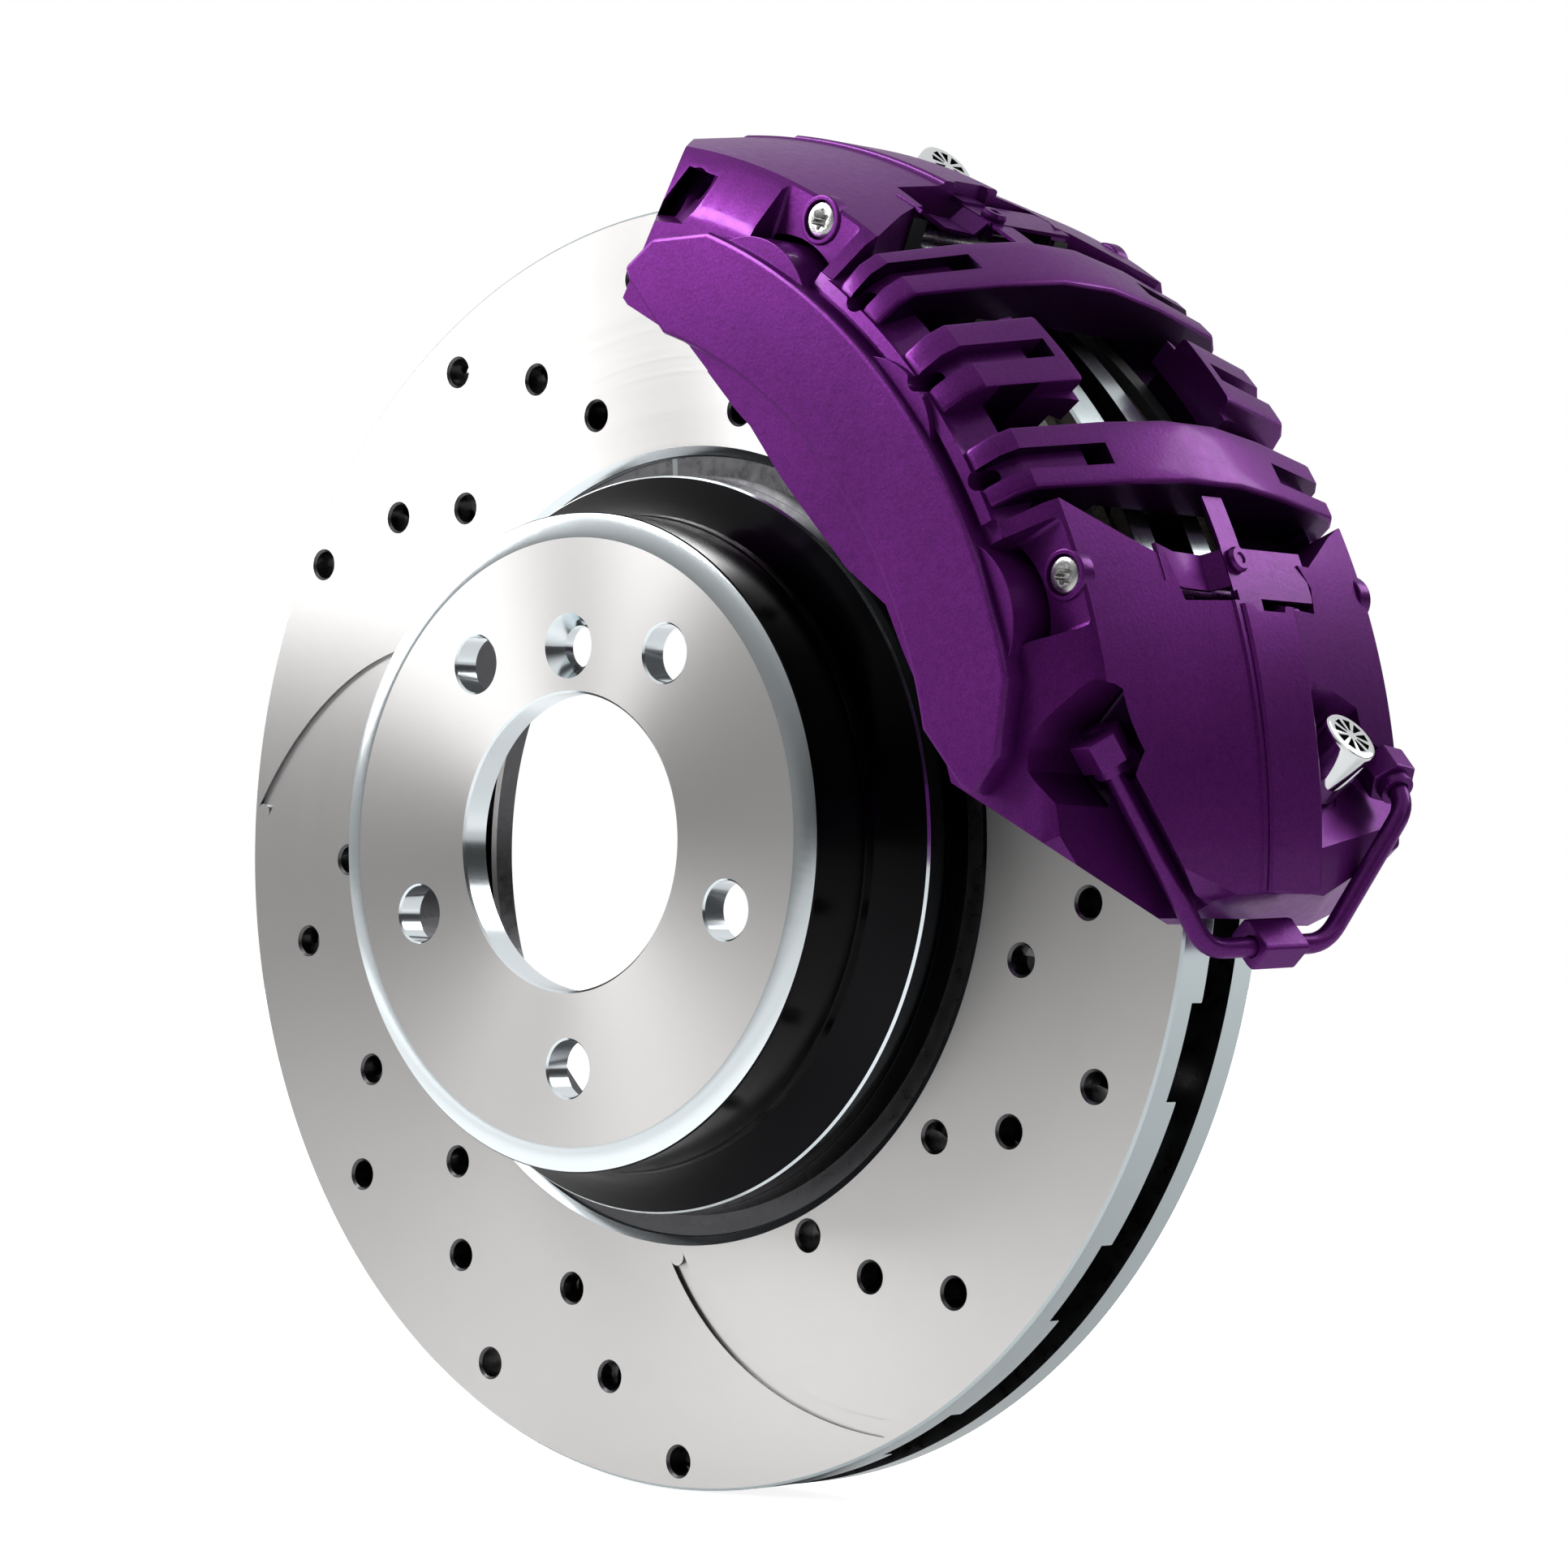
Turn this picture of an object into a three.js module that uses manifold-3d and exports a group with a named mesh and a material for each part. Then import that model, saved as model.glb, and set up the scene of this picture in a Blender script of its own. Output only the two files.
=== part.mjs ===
// Six-piston fixed brake caliper on a drilled and slotted ventilated disc.
// Millimetres. +Y is the axle, pointing inboard; +Z is up.
// The origin is the centre of the disc's hub seat, the inner face of the hat's plate.
import * as THREE from 'three';
import { mergeVertices } from 'three/addons/utils/BufferGeometryUtils.js';
import Module from 'manifold-3d';

const wasm = await Module();
wasm.setup();

// ---------- driving dimensions: disc ----------
const DISC_R = 174;
const MID_Y = 51; // middle plane of the disc and of the caliper
const DISC_HALF = 15; // half the disc's thickness
const OUTER_PLATE = 7.2; // thickness of the outboard friction plate
const INNER_PLATE = 8.2;
const FACE_Y = MID_Y - DISC_HALF;
const BACK_Y = MID_Y + DISC_HALF;
const HAT_PLATE = 7.5;
const HAT_R = 87.6;
const HAT_INNER_R = 80;
const FLARE_R = 98.8; // the hat widens to this before it meets the friction plate
const BORE_R = 39.5;
const BOLT_CIRCLE_R = 60;
const BOLT_HOLE_R = 7.65;
const BOLT_ANGLES = [126, 54, -18, 198, -90];
const LOCATING_R = 52;
const VENT_PERIODS = 16;
const VENT_PHASE = 7.1; // turns the ribs from the top, in degrees
const DRILL_ROWS = 15; // every fifth row is a slot instead of three holes
const DRILL_R = 3.9;

// ---------- driving dimensions: caliper ----------
const CALIPER_ANGLE = 40; // where the caliper's middle sits on the disc, from +X towards +Z
const CROWN_R = 193;
const SLOT_HALF = 17.4; // half the gap that the disc runs in
const SLOT_R = 177.6;
const POCKET_HALF = 33.4; // half the width of the pad pocket
const POCKET_ANGLE = 29.6;
const BRIDGE = [7.3, 12.9]; // each bridge spans these angles either side of the middle
const CLIP_WINDOW = [17.3, 22.9];
const SIDE_U = 67; // side walls, measured from the middle plane
const PLATE_U = 73; // faces of the smooth cover arcs
const END_X = 134.6;

// pistons: angle from the middle, radius of the centre, piston radius
const PISTONS = [
  { name: 'leading', angle: -20.5, r: 150.5, bore: 14 },
  { name: 'middle', angle: 0, r: 149.5, bore: 17 },
  { name: 'trailing', angle: 20.5, r: 150.5, bore: 14 },
];
const GAP = 0.4; // clearance between a piston and its bore
const SEAT = 0.3; // clearance between parts that touch
const PIN_ANGLE = 20;
const PIN_R = 180.4;
const PIN_RADIUS = 3.8;
const LINING_U = [15.9, 25.4];
const BACKING_U = [25.7, 31.2];
const SHIM_U = [31.5, 32.3];
const PISTON_U = [32.6, 57];
const BLEEDER = { x: 103.7, y: 80, floor: 144 };
const PIPE_RADIUS = 2.6;

const DEG = Math.PI / 180;
const SIDES = [
  { name: 'outer', sign: -1 },
  { name: 'inner', sign: 1 },
];
const ENDS = [
  { name: 'leading', side: -1 },
  { name: 'trailing', side: 1 },
];

// ---------- solids ----------

/** Drops normals, welds corners, removes slivers and makes every face point out. */
function closed(geometry) {
  const bare = geometry.clone();
  bare.deleteAttribute('normal');
  bare.deleteAttribute('uv');
  const welded = mergeVertices(bare, 1e-4);
  const p = welded.attributes.position;
  const index = welded.index.array;
  const kept = [];
  let volume = 0;
  for (let i = 0; i < index.length; i += 3) {
    const [a, b, c] = [index[i], index[i + 1], index[i + 2]];
    if (a === b || b === c || c === a) continue;
    kept.push(a, b, c);
    const cross = new THREE.Vector3().fromBufferAttribute(p, b);
    cross.cross(new THREE.Vector3().fromBufferAttribute(p, c));
    volume += cross.dot(new THREE.Vector3().fromBufferAttribute(p, a));
  }
  if (volume < 0) kept.reverse();
  welded.setIndex(kept);
  return welded;
}

function solid(geometry) {
  const g = closed(geometry);
  return new wasm.Manifold(new wasm.Mesh({
    numProp: 3,
    vertProperties: new Float32Array(g.attributes.position.array),
    triVerts: new Uint32Array(g.index.array),
  }));
}

function geometryOf(manifold) {
  const mesh = manifold.getMesh();
  const geometry = new THREE.BufferGeometry();
  geometry.setAttribute('position', new THREE.BufferAttribute(new Float32Array(mesh.vertProperties), 3));
  geometry.setIndex(Array.from(mesh.triVerts));
  return geometry;
}

const vector2 = (points) => points.map(([a, b]) => new THREE.Vector2(a, b));

/** Ring about the disc axis from a closed outline of [r, y] points. */
function ring(profile, segments = 48) {
  return new THREE.LatheGeometry(vector2([...profile, profile[0]]), segments);
}

/** Part of a ring between two angles in degrees, closed at both ends. */
function sector(profile, from, to, steps) {
  const outline = THREE.ShapeUtils.area(vector2(profile)) > 0 ? profile : profile.slice().reverse();
  const points = vector2([...outline, outline[0]]);
  const band = new THREE.LatheGeometry(points, steps, from * DEG, (to - from) * DEG);
  const position = Array.from(band.attributes.position.array);
  const index = Array.from(band.index.array);
  const faces = THREE.ShapeUtils.triangulateShape(vector2(outline), []);
  [from * DEG, to * DEG].forEach((angle, end) => {
    const first = position.length / 3;
    for (const [r, y] of outline) position.push(r * Math.sin(angle), y, r * Math.cos(angle));
    for (const [a, b, c] of faces) {
      if (end === 0) index.push(first + a, first + b, first + c);
      else index.push(first + a, first + c, first + b);
    }
  });
  const geometry = new THREE.BufferGeometry();
  geometry.setAttribute('position', new THREE.Float32BufferAttribute(position, 3));
  geometry.setIndex(index);
  return geometry;
}

/** Block between two radii, two distances from the middle plane on one side, and two angles. */
function block(r0, r1, y0, y1, from, to, steps = Math.max(2, Math.ceil(Math.abs(to - from) / 3))) {
  return sector([[r0, y0], [r1, y0], [r1, y1], [r0, y1]], from, to, steps);
}

/** Prism along Y from an outline of [x, z] points. */
function axialPrism(points, y0, y1, holes = []) {
  const shape = new THREE.Shape(vector2(points));
  shape.holes = holes.map((hole) => new THREE.Path(vector2(hole)));
  const geometry = new THREE.ExtrudeGeometry(shape, { depth: y1 - y0, bevelEnabled: false });
  return geometry.rotateX(Math.PI / 2).translate(0, y1, 0);
}

/** Solid of revolution about a line through `at` along `direction`, from [r, height] points. */
function turned(profile, at, direction, segments = 12) {
  const geometry = new THREE.LatheGeometry(vector2(profile), segments);
  const turn = new THREE.Quaternion().setFromUnitVectors(new THREE.Vector3(0, 1, 0), direction);
  return geometry.applyQuaternion(turn).translate(at.x, at.y, at.z);
}

const AXIAL = new THREE.Vector3(0, 1, 0);
const OUTWARD = new THREE.Vector3(0, 0, 1);

/** Cylinder between two heights along its own line. */
function rod(radius, h0, h1, at, direction = AXIAL, segments = 12) {
  return turned([[0, h0], [radius, h0], [radius, h1], [0, h1]], at, direction, segments);
}

/** Point at a radius and an angle from the caliper's middle, in the caliper's own frame. */
function polar(r, angle, y = 0) {
  return new THREE.Vector3(r * Math.sin(angle * DEG), y, r * Math.cos(angle * DEG));
}

function arc(r, from, to, steps) {
  return Array.from({ length: steps + 1 }, (_, i) => {
    const p = polar(r, from + (to - from) * i / steps);
    return [p.x, p.z];
  });
}

function circle(radius, cx, cz, segments = 16) {
  return Array.from({ length: segments }, (_, i) => {
    const t = 2 * Math.PI * i / segments;
    return [cx + radius * Math.cos(t), cz + radius * Math.sin(t)];
  });
}

const inOrder = (pair) => [...pair].sort((a, b) => a - b);

/** Two distances from the middle plane, as a range of Y on one side of it. */
function yRange([u0, u1], sign) {
  return inOrder([MID_Y + sign * u0, MID_Y + sign * u1]);
}

// ---------- materials ----------
function material(color, roughness, metalness) {
  return () => new THREE.MeshStandardMaterial({ color, roughness, metalness });
}
const paint = material(0x6b2a7d, 0.32, 0.55);
const machinedSteel = material(0xb9b8b6, 0.3, 1);
const zincSteel = material(0xc4c6c8, 0.35, 1);
const chrome = material(0xe8eaec, 0.08, 1);
const stainless = material(0xa9abad, 0.35, 1);
const anodised = material(0x8e9196, 0.4, 0.9);
const rubber = material(0x151515, 0.8, 0);
const friction = material(0x3a3735, 0.95, 0);
const blackSteel = material(0x1d1e20, 0.55, 0.5);

const object = new THREE.Group();
const caliper = new THREE.Group();
caliper.rotation.y = (90 - CALIPER_ANGLE) * DEG;
object.add(caliper);

function addPart(parent, name, geometry, finish) {
  const mesh = new THREE.Mesh(geometry, finish());
  mesh.name = name;
  parent.add(mesh);
}

// ---------- disc ----------

/** Angle swept by a drilled row or slot on its way out to radius r, in degrees. */
function rowSweep(r) {
  const out = r - 111.3;
  return 0.3 * out + 0.0026 * out * out;
}

function discPoint(r, degrees) {
  return new THREE.Vector3(r * Math.cos(degrees * DEG), 0, r * Math.sin(degrees * DEG));
}

function hatAndOuterPlate() {
  const inner = FACE_Y + OUTER_PLATE;
  return ring([
    [BORE_R, -HAT_PLATE], [80.7, -HAT_PLATE], [HAT_R, -5.8], [HAT_R, 12.6], [91, 18], [FLARE_R, 23.6],
    [FLARE_R, 35.5], [100, 38.2], [106, 38.2], [106, 37], [108.3, FACE_Y],
    [DISC_R - 0.6, FACE_Y], [DISC_R, FACE_Y + 0.6], [DISC_R, inner], [90, inner], [HAT_INNER_R, 30],
    [HAT_INNER_R, 0], [BORE_R, 0],
  ]);
}

function innerPlate() {
  const inner = BACK_Y - INNER_PLATE;
  return ring([
    [95, inner], [DISC_R, inner], [DISC_R, BACK_Y - 0.6], [DISC_R - 0.6, BACK_Y], [95, BACK_Y],
  ]);
}

/** Long rib that joins the two plates between two air channels; its foot follows the rim. */
function ventRib(angle) {
  const from = FACE_Y + OUTER_PLATE - 0.5;
  const rib = block(101, 167, from, BACK_Y - INNER_PLATE + 0.5, angle - 5.5, angle + 5.5, 2);
  const land = block(166, DISC_R - 0.6, from, from + 4.9, angle - 7, angle + 7, 2);
  return solid(rib).add(solid(land));
}

function brakeDisc() {
  let disc = solid(hatAndOuterPlate()).add(solid(innerPlate()));
  for (let i = 0; i < VENT_PERIODS; i += 1) {
    disc = disc.add(ventRib(VENT_PHASE + i * 360 / VENT_PERIODS));
  }
  for (const angle of BOLT_ANGLES) {
    disc = disc.subtract(solid(rod(BOLT_HOLE_R, -20, 10, discPoint(BOLT_CIRCLE_R, angle), AXIAL, 14)));
  }
  const cone = [[0, -HAT_PLATE - 1], [9.3, -HAT_PLATE - 1], [5.6, -3], [5.6, 5], [0, 5]];
  disc = disc.subtract(solid(turned(cone, discPoint(LOCATING_R, 90), AXIAL)));
  for (let row = 0; row < DRILL_ROWS; row += 1) {
    const base = 29.2 + row * 360 / DRILL_ROWS;
    const step = row % 5;
    if (step === 0) continue;
    for (let k = 0; k < 3; k += 1) {
      const r = 113.8 + 4.9 * (step - 1) + 19 * k;
      const at = discPoint(r, base + rowSweep(r));
      disc = disc.subtract(solid(rod(DRILL_R, FACE_Y - 2, BACK_Y + 2, at, AXIAL, 6)));
    }
  }
  return geometryOf(disc);
}
addPart(object, 'brake_disc', brakeDisc(), machinedSteel);

// ---------- caliper body ----------

/** Cross-section through the crown and both sides: [r, y], symmetric about the middle plane. */
function crownProfile() {
  const half = [[118, SIDE_U], [168, SIDE_U], [176.5, 65], [183, 62], [CROWN_R, 10]];
  return [
    ...half.map(([r, u]) => [r, MID_Y + u]),
    ...half.slice().reverse().map(([r, u]) => [r, MID_Y - u]),
  ];
}

/** Outline seen along the axle: ends, and the lower edge that follows the piston housings. */
function axialOutline() {
  const underside = [
    polar(123.3, 0), polar(123.3, 7.5), polar(131.8, 14.6), polar(132.4, 22), polar(136.3, 27.4),
  ].map((p) => [p.x, p.z]);
  const end = [[88, 112], [112, 112], [128.3, 117.6], [END_X, 136.9], [END_X, 200], [0, 205]];
  const right = [...underside, ...end];
  return [...right, ...right.slice(1, -1).reverse().map(([x, z]) => [-x, z])];
}

/** Outline seen from above: the ends narrow towards the two cover arcs, the leading end more. */
function planOutline() {
  const trailing = [[END_X, 17], [121, 57], [101, PLATE_U + 1]];
  const leading = [[END_X, 27], [97.5, PLATE_U + 1]].map(([x, u]) => [-x, u]);
  const inboard = [...trailing, ...leading.reverse()];
  return [
    ...inboard.map(([x, u]) => [x, MID_Y + u]),
    ...inboard.slice().reverse().map(([x, u]) => [x, MID_Y - u]),
  ];
}

/** Outline of the smooth cover arc on each side. */
function coverArc() {
  const corner = [[161, 34], [152, 37], [148.7, 36.1]].map(([r, a]) => [polar(r, a).x, polar(r, a).z]);
  return [
    ...arc(167, -27.5, 27.5, 16), ...corner, ...arc(138.2, 29.7, -29.7, 16),
    ...corner.slice().reverse().map(([x, z]) => [-x, z]),
  ];
}

/** Bore with a square seal groove and a wider mouth for the dust boot. */
function pistonBore(piston, sign) {
  const r = piston.bore + GAP;
  const profile = [
    [0, 30], [r + 2.8, 30], [r + 2.8, 37.2], [r, 37.2],
    [r, 46.6], [r + 2.6, 46.6], [r + 2.6, 50.2], [r, 50.2], [r, 60.5], [0, 60.5],
  ];
  return turned(profile, polar(piston.r, piston.angle, MID_Y), new THREE.Vector3(0, sign, 0));
}

/** Straight runs joined by rounded corners, as a bent tube is. */
function bentRoute(points, bend) {
  const route = new THREE.CurvePath();
  let from = points[0];
  for (let i = 1; i < points.length - 1; i += 1) {
    const before = points[i].clone().addScaledVector(points[i - 1].clone().sub(points[i]).normalize(), bend);
    const after = points[i].clone().addScaledVector(points[i + 1].clone().sub(points[i]).normalize(), bend);
    route.add(new THREE.LineCurve3(from, before));
    route.add(new THREE.QuadraticBezierCurve3(before, points[i], after));
    from = after;
  }
  route.add(new THREE.LineCurve3(from, points[points.length - 1]));
  return route;
}

const PORT_OUT = new THREE.Vector3(95.1, -4, 149.3);
const PORT_IN = new THREE.Vector3(102.9, 103, 152.5);
const PIPE_CORNERS = [
  new THREE.Vector3(138.9, 32, 120.7),
  new THREE.Vector3(141.6, 73, 126.6),
  new THREE.Vector3(118.4, 99.8, 154),
];
const PIPE_LEAVES = PIPE_CORNERS[0].clone().sub(PORT_OUT).normalize();
const PIPE_ENTERS = PIPE_CORNERS[2].clone().sub(PORT_IN).normalize();
const NUT_LENGTH = 11;

function pipeTube(radius, sides, startGap) {
  const from = PORT_OUT.clone().addScaledVector(PIPE_LEAVES, startGap);
  const to = PORT_IN.clone().addScaledVector(PIPE_ENTERS, startGap);
  const section = new THREE.Shape(vector2(circle(radius, 0, 0, sides)));
  const route = bentRoute([from, ...PIPE_CORNERS, to], 8);
  return new THREE.ExtrudeGeometry(section, { steps: 32, bevelEnabled: false, extrudePath: route });
}

function windows() {
  const low = MID_Y - 57;
  const high = MID_Y + 57;
  const fins = solid(block(165, 225, MID_Y - 70, MID_Y - 27, -3.4, 3.4))
    .add(solid(block(165, 225, MID_Y + 30, MID_Y + 70, -3.4, 3.4)));
  let cut = solid(block(171, 225, low, high, -BRIDGE[0], BRIDGE[0])).subtract(fins);
  for (const side of [-1, 1]) {
    const clip = inOrder(CLIP_WINDOW.map((angle) => angle * side));
    cut = cut.add(solid(block(169, 225, MID_Y - POCKET_HALF, MID_Y + POCKET_HALF, ...clip)));
    const gap = inOrder([BRIDGE[1] * side, CLIP_WINDOW[0] * side]);
    cut = cut.add(solid(block(184, 225, MID_Y - 45, MID_Y + 45, ...gap)));
  }
  return cut;
}

/** Ear on the inboard half that a bolt along the axle fastens to the knuckle. */
function mountingEar(side) {
  const ear = solid(rod(13, 92, 110, new THREE.Vector3(side * 97, 0, 105)));
  const web = [[84, 108], [110, 108], [112, 121], [80, 121]].map(([x, z]) => [side * x, z]);
  return ear.add(solid(axialPrism(web, 92, 110)));
}

function caliperBody() {
  let body = solid(sector(crownProfile(), -49, 49, 36));
  body = body.intersect(solid(axialPrism(axialOutline(), -40, 140)));
  const plan = new THREE.Shape(vector2(planOutline()));
  body = body.intersect(solid(new THREE.ExtrudeGeometry(plan, { depth: 250, bevelEnabled: false })));
  for (const { sign } of SIDES) {
    body = body.add(solid(axialPrism(coverArc(), ...yRange([SIDE_U - 1, PLATE_U], sign))));
    for (const side of [-1, 1]) {
      const at = polar(PIN_R, side * PIN_ANGLE, MID_Y);
      body = body.add(solid(rod(9.5, 44, 59, at, new THREE.Vector3(0, sign, 0))));
    }
  }
  body = body.add(mountingEar(1)).add(mountingEar(-1));
  body = body.add(solid(rod(9, 120, 128, polar(152, -8))));

  body = body.subtract(solid(block(90, SLOT_R, MID_Y - SLOT_HALF, MID_Y + SLOT_HALF, -52, 52)));
  const pocket = block(90, 178, MID_Y - POCKET_HALF, MID_Y + POCKET_HALF, -POCKET_ANGLE, POCKET_ANGLE, 20);
  body = body.subtract(solid(pocket)).subtract(windows());
  for (const { sign } of SIDES) {
    for (const piston of PISTONS) body = body.subtract(solid(pistonBore(piston, sign)));
  }
  for (const side of [-1, 1]) {
    const at = polar(PIN_R, side * PIN_ANGLE);
    const hole = [[0, -20], [5.2, -20], [5.2, -4.4], [4.2, -4.4], [4.2, 106], [0, 106]];
    body = body.subtract(solid(turned(hole, at, AXIAL)));
    const bleed = new THREE.Vector3(side * BLEEDER.x, BLEEDER.y, 0);
    const seat = [
      [0, 131.5], [4.4, 131.5], [4.4, BLEEDER.floor], [10.6, BLEEDER.floor], [10.6, 200], [0, 200],
    ];
    body = body.subtract(solid(turned(seat, bleed, OUTWARD)));
    body = body.subtract(solid(rod(6.6, 80, 120, new THREE.Vector3(side * 97, 0, 105), AXIAL)));
  }
  body = body.subtract(solid(rod(4.3, 114, 140, polar(152, -8), AXIAL)));
  body = body.subtract(solid(rod(10, -SEAT, 19, PORT_OUT, PIPE_LEAVES)));
  body = body.subtract(solid(rod(8.6, -SEAT, 40, PORT_IN, PIPE_ENTERS)));
  return body.subtract(solid(pipeTube(PIPE_RADIUS + 1.2, 8, 2)));
}
addPart(caliper, 'caliper_body', geometryOf(caliperBody()), paint);

// ---------- pistons, seals and boots ----------

function pistonGroup({ name: side, sign }) {
  const direction = new THREE.Vector3(0, sign, 0);
  for (const { name, angle, r, bore } of PISTONS) {
    const at = polar(r, angle, MID_Y);
    const [face, back] = PISTON_U;
    const cup = [
      [0, back], [bore, back], [bore, face], [bore - 3.5, face], [bore - 3.5, back - 5], [0, back - 5],
    ];
    addPart(caliper, `piston_${side}_${name}`, closed(turned(cup, at, direction)), anodised);
    const seal = [[bore + SEAT, 46.9], [bore + 2.6, 46.9], [bore + 2.6, 49.9], [bore + SEAT, 49.9]];
    const sealRing = turned([...seal, seal[0]], at, direction);
    addPart(caliper, `piston_seal_${side}_${name}`, closed(sealRing), rubber);
    const boot = [
      [bore + SEAT, 33.8], [bore + 1.2, 33.4], [bore + 2.8, 34], [bore + 2.8, 36.8], [bore + SEAT, 36.8],
    ];
    const bootRing = turned([...boot, boot[0]], at, direction);
    addPart(caliper, `dust_boot_${side}_${name}`, closed(bootRing), rubber);
  }
}
SIDES.forEach(pistonGroup);

// ---------- pads ----------

/** Backing plate outline with two ears that hang on the pad pins. */
function backingOutline() {
  const ear = arc(186.8, 18.4, 21.6, 2);
  const right = [...arc(172, 0, 17.7, 5), ...ear, ...arc(172, 22.4, 28.2, 2), ...arc(124, 28.2, 0, 8)];
  return [...right, ...right.slice(1, -1).reverse().map(([x, z]) => [-x, z])];
}

function padGroup({ name: side, sign }) {
  const pinHoles = [-1, 1].map((s) => polar(PIN_R, s * PIN_ANGLE)).map((p) => circle(4.5, p.x, p.z, 12));
  const backing = axialPrism(backingOutline(), ...yRange(BACKING_U, sign), pinHoles);
  addPart(caliper, `pad_backing_${side}`, closed(backing), blackSteel);
  const [y0, y1] = yRange(LINING_U, sign);
  const slit = block(120, 175, MID_Y + sign * 15 - 5, MID_Y + sign * 15 + 5, -0.7, 0.7);
  const lining = solid(block(126, 169, y0, y1, -26, 26, 16)).subtract(solid(slit));
  addPart(caliper, `pad_lining_${side}`, geometryOf(lining), friction);
  const shim = block(129, 167, ...yRange(SHIM_U, sign), -25, 25, 12);
  addPart(caliper, `pad_shim_${side}`, closed(shim), stainless);
  for (const end of ENDS) {
    const across = inOrder([28.75 * end.side, 29.25 * end.side]);
    const plate = block(128, 168, ...yRange([24.5, 33], sign), ...across, 1);
    addPart(caliper, `abutment_plate_${side}_${end.name}`, closed(plate), stainless);
  }
}
SIDES.forEach(padGroup);

// ---------- pins, clips, bleeders ----------

function padPin({ name, side }) {
  const shank = [
    [0, -7.6], [3.6, -8], [4.7, -7.4], [4.7, -4.7], [PIN_RADIUS, -4.7], [PIN_RADIUS, 104.5], [0, 105.3],
  ];
  const pin = turned(shank, polar(PIN_R, side * PIN_ANGLE), AXIAL);
  addPart(caliper, `pad_pin_${name}`, closed(pin), zincSteel);
}

/** Sheet spring over the pins: a wide plate with a tongue that reaches under the bridge. */
function springClip({ name, side }) {
  const [low, high] = [187.5, 188.5];
  const across = inOrder([17.7 * side, 22.5 * side]);
  const tongue = inOrder([13.3 * side, 18 * side]);
  const plate = solid(block(low, high, MID_Y - 29.5, MID_Y + 29.5, ...across))
    .add(solid(block(low, high, MID_Y - 4, MID_Y + 4, ...tongue)))
    .subtract(solid(rod(2.1, 180, 195, new THREE.Vector3(0, MID_Y, 0), polar(1, 18.9 * side), 12)));
  addPart(caliper, `spring_clip_${name}`, geometryOf(plate), paint);
  const head = [[0, 185], [1.7, 185], [1.7, 188.8], [3.6, 188.8], [3.3, 190.2], [0, 190.8]];
  const rivet = turned(head, new THREE.Vector3(0, MID_Y, 0), polar(1, 18.9 * side), 12);
  addPart(caliper, `clip_rivet_${name}`, closed(rivet), paint);
}

function bleeder({ name, side }) {
  const at = new THREE.Vector3(side * BLEEDER.x, BLEEDER.y, 0);
  const f = BLEEDER.floor;
  const screw = [
    [0, 132], [1.5, 132], [4, 135.5], [4, f], [5.2, f + 0.4], [5.2, f + 5], [3, f + 6], [3, f + 8],
    [3.7, f + 9.5], [2.8, f + 14], [0, f + 14],
  ];
  addPart(caliper, `bleeder_screw_${name}`, closed(turned(screw, at, OUTWARD)), zincSteel);
  const cap = [
    [8, f + 1], [8, f + 18], [7.3, f + 18.8], [0, f + 18.8], [0, f + 15], [5.8, f + 15], [5.8, f + 1],
  ];
  addPart(caliper, `bleeder_cap_${name}`, closed(turned([...cap, cap[0]], at, OUTWARD, 16)), chrome);
}
ENDS.forEach(padPin);
ENDS.forEach(springClip);
ENDS.forEach(bleeder);

// ---------- crossover pipe ----------

function unionNut(name, at, direction) {
  const flats = 12;
  const corner = flats / Math.sqrt(3);
  const hole = (PIPE_RADIUS + SEAT) * 2 / Math.sqrt(3);
  const nut = [
    [hole, 0], [corner, 0], [corner, NUT_LENGTH - 1], [corner - 1.2, NUT_LENGTH], [hole, NUT_LENGTH],
  ];
  addPart(caliper, name, closed(turned([...nut, nut[0]], at, direction, 6)), paint);
}
addPart(caliper, 'crossover_pipe', closed(pipeTube(PIPE_RADIUS, 8, 1)), paint);
unionNut('union_nut_outer', PORT_OUT, PIPE_LEAVES);
unionNut('union_nut_inner', PORT_IN, PIPE_ENTERS);

/** Block clamped round the pipe's straight run, standing off the caliper's end. */
function pipeClip() {
  const middle = PIPE_CORNERS[0].clone().lerp(PIPE_CORNERS[1], 0.55);
  const box = new THREE.BoxGeometry(12, 15, 9).translate(middle.x - 1.2, middle.y, middle.z);
  return solid(box).subtract(solid(pipeTube(PIPE_RADIUS + SEAT + 0.1, 8, 2)));
}
addPart(caliper, 'pipe_clip', geometryOf(pipeClip()), paint);

export default object;
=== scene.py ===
import math

import bmesh
import bpy
from mathutils import Matrix, Vector


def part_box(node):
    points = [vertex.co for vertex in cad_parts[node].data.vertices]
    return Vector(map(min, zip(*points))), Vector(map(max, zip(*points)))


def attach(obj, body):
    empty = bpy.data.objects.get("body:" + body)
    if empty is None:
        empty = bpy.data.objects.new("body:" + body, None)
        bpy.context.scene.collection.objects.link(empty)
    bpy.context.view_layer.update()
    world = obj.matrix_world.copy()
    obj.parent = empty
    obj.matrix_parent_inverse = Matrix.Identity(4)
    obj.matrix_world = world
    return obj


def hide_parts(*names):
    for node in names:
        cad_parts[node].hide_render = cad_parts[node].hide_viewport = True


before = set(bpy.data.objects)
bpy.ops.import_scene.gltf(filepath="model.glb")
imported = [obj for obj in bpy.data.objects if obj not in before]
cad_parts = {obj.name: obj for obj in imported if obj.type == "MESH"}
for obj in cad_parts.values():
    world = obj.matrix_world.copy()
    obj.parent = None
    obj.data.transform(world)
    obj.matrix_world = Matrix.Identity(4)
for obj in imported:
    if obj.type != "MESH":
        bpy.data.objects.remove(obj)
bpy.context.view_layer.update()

# Fixed six-piston brake caliper over a drilled, slotted and ventilated disc.
# Lengths are in millimetres until a mesh is made, angles in degrees. +Y is the axle, pointing inboard.

MM = 0.001

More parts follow.
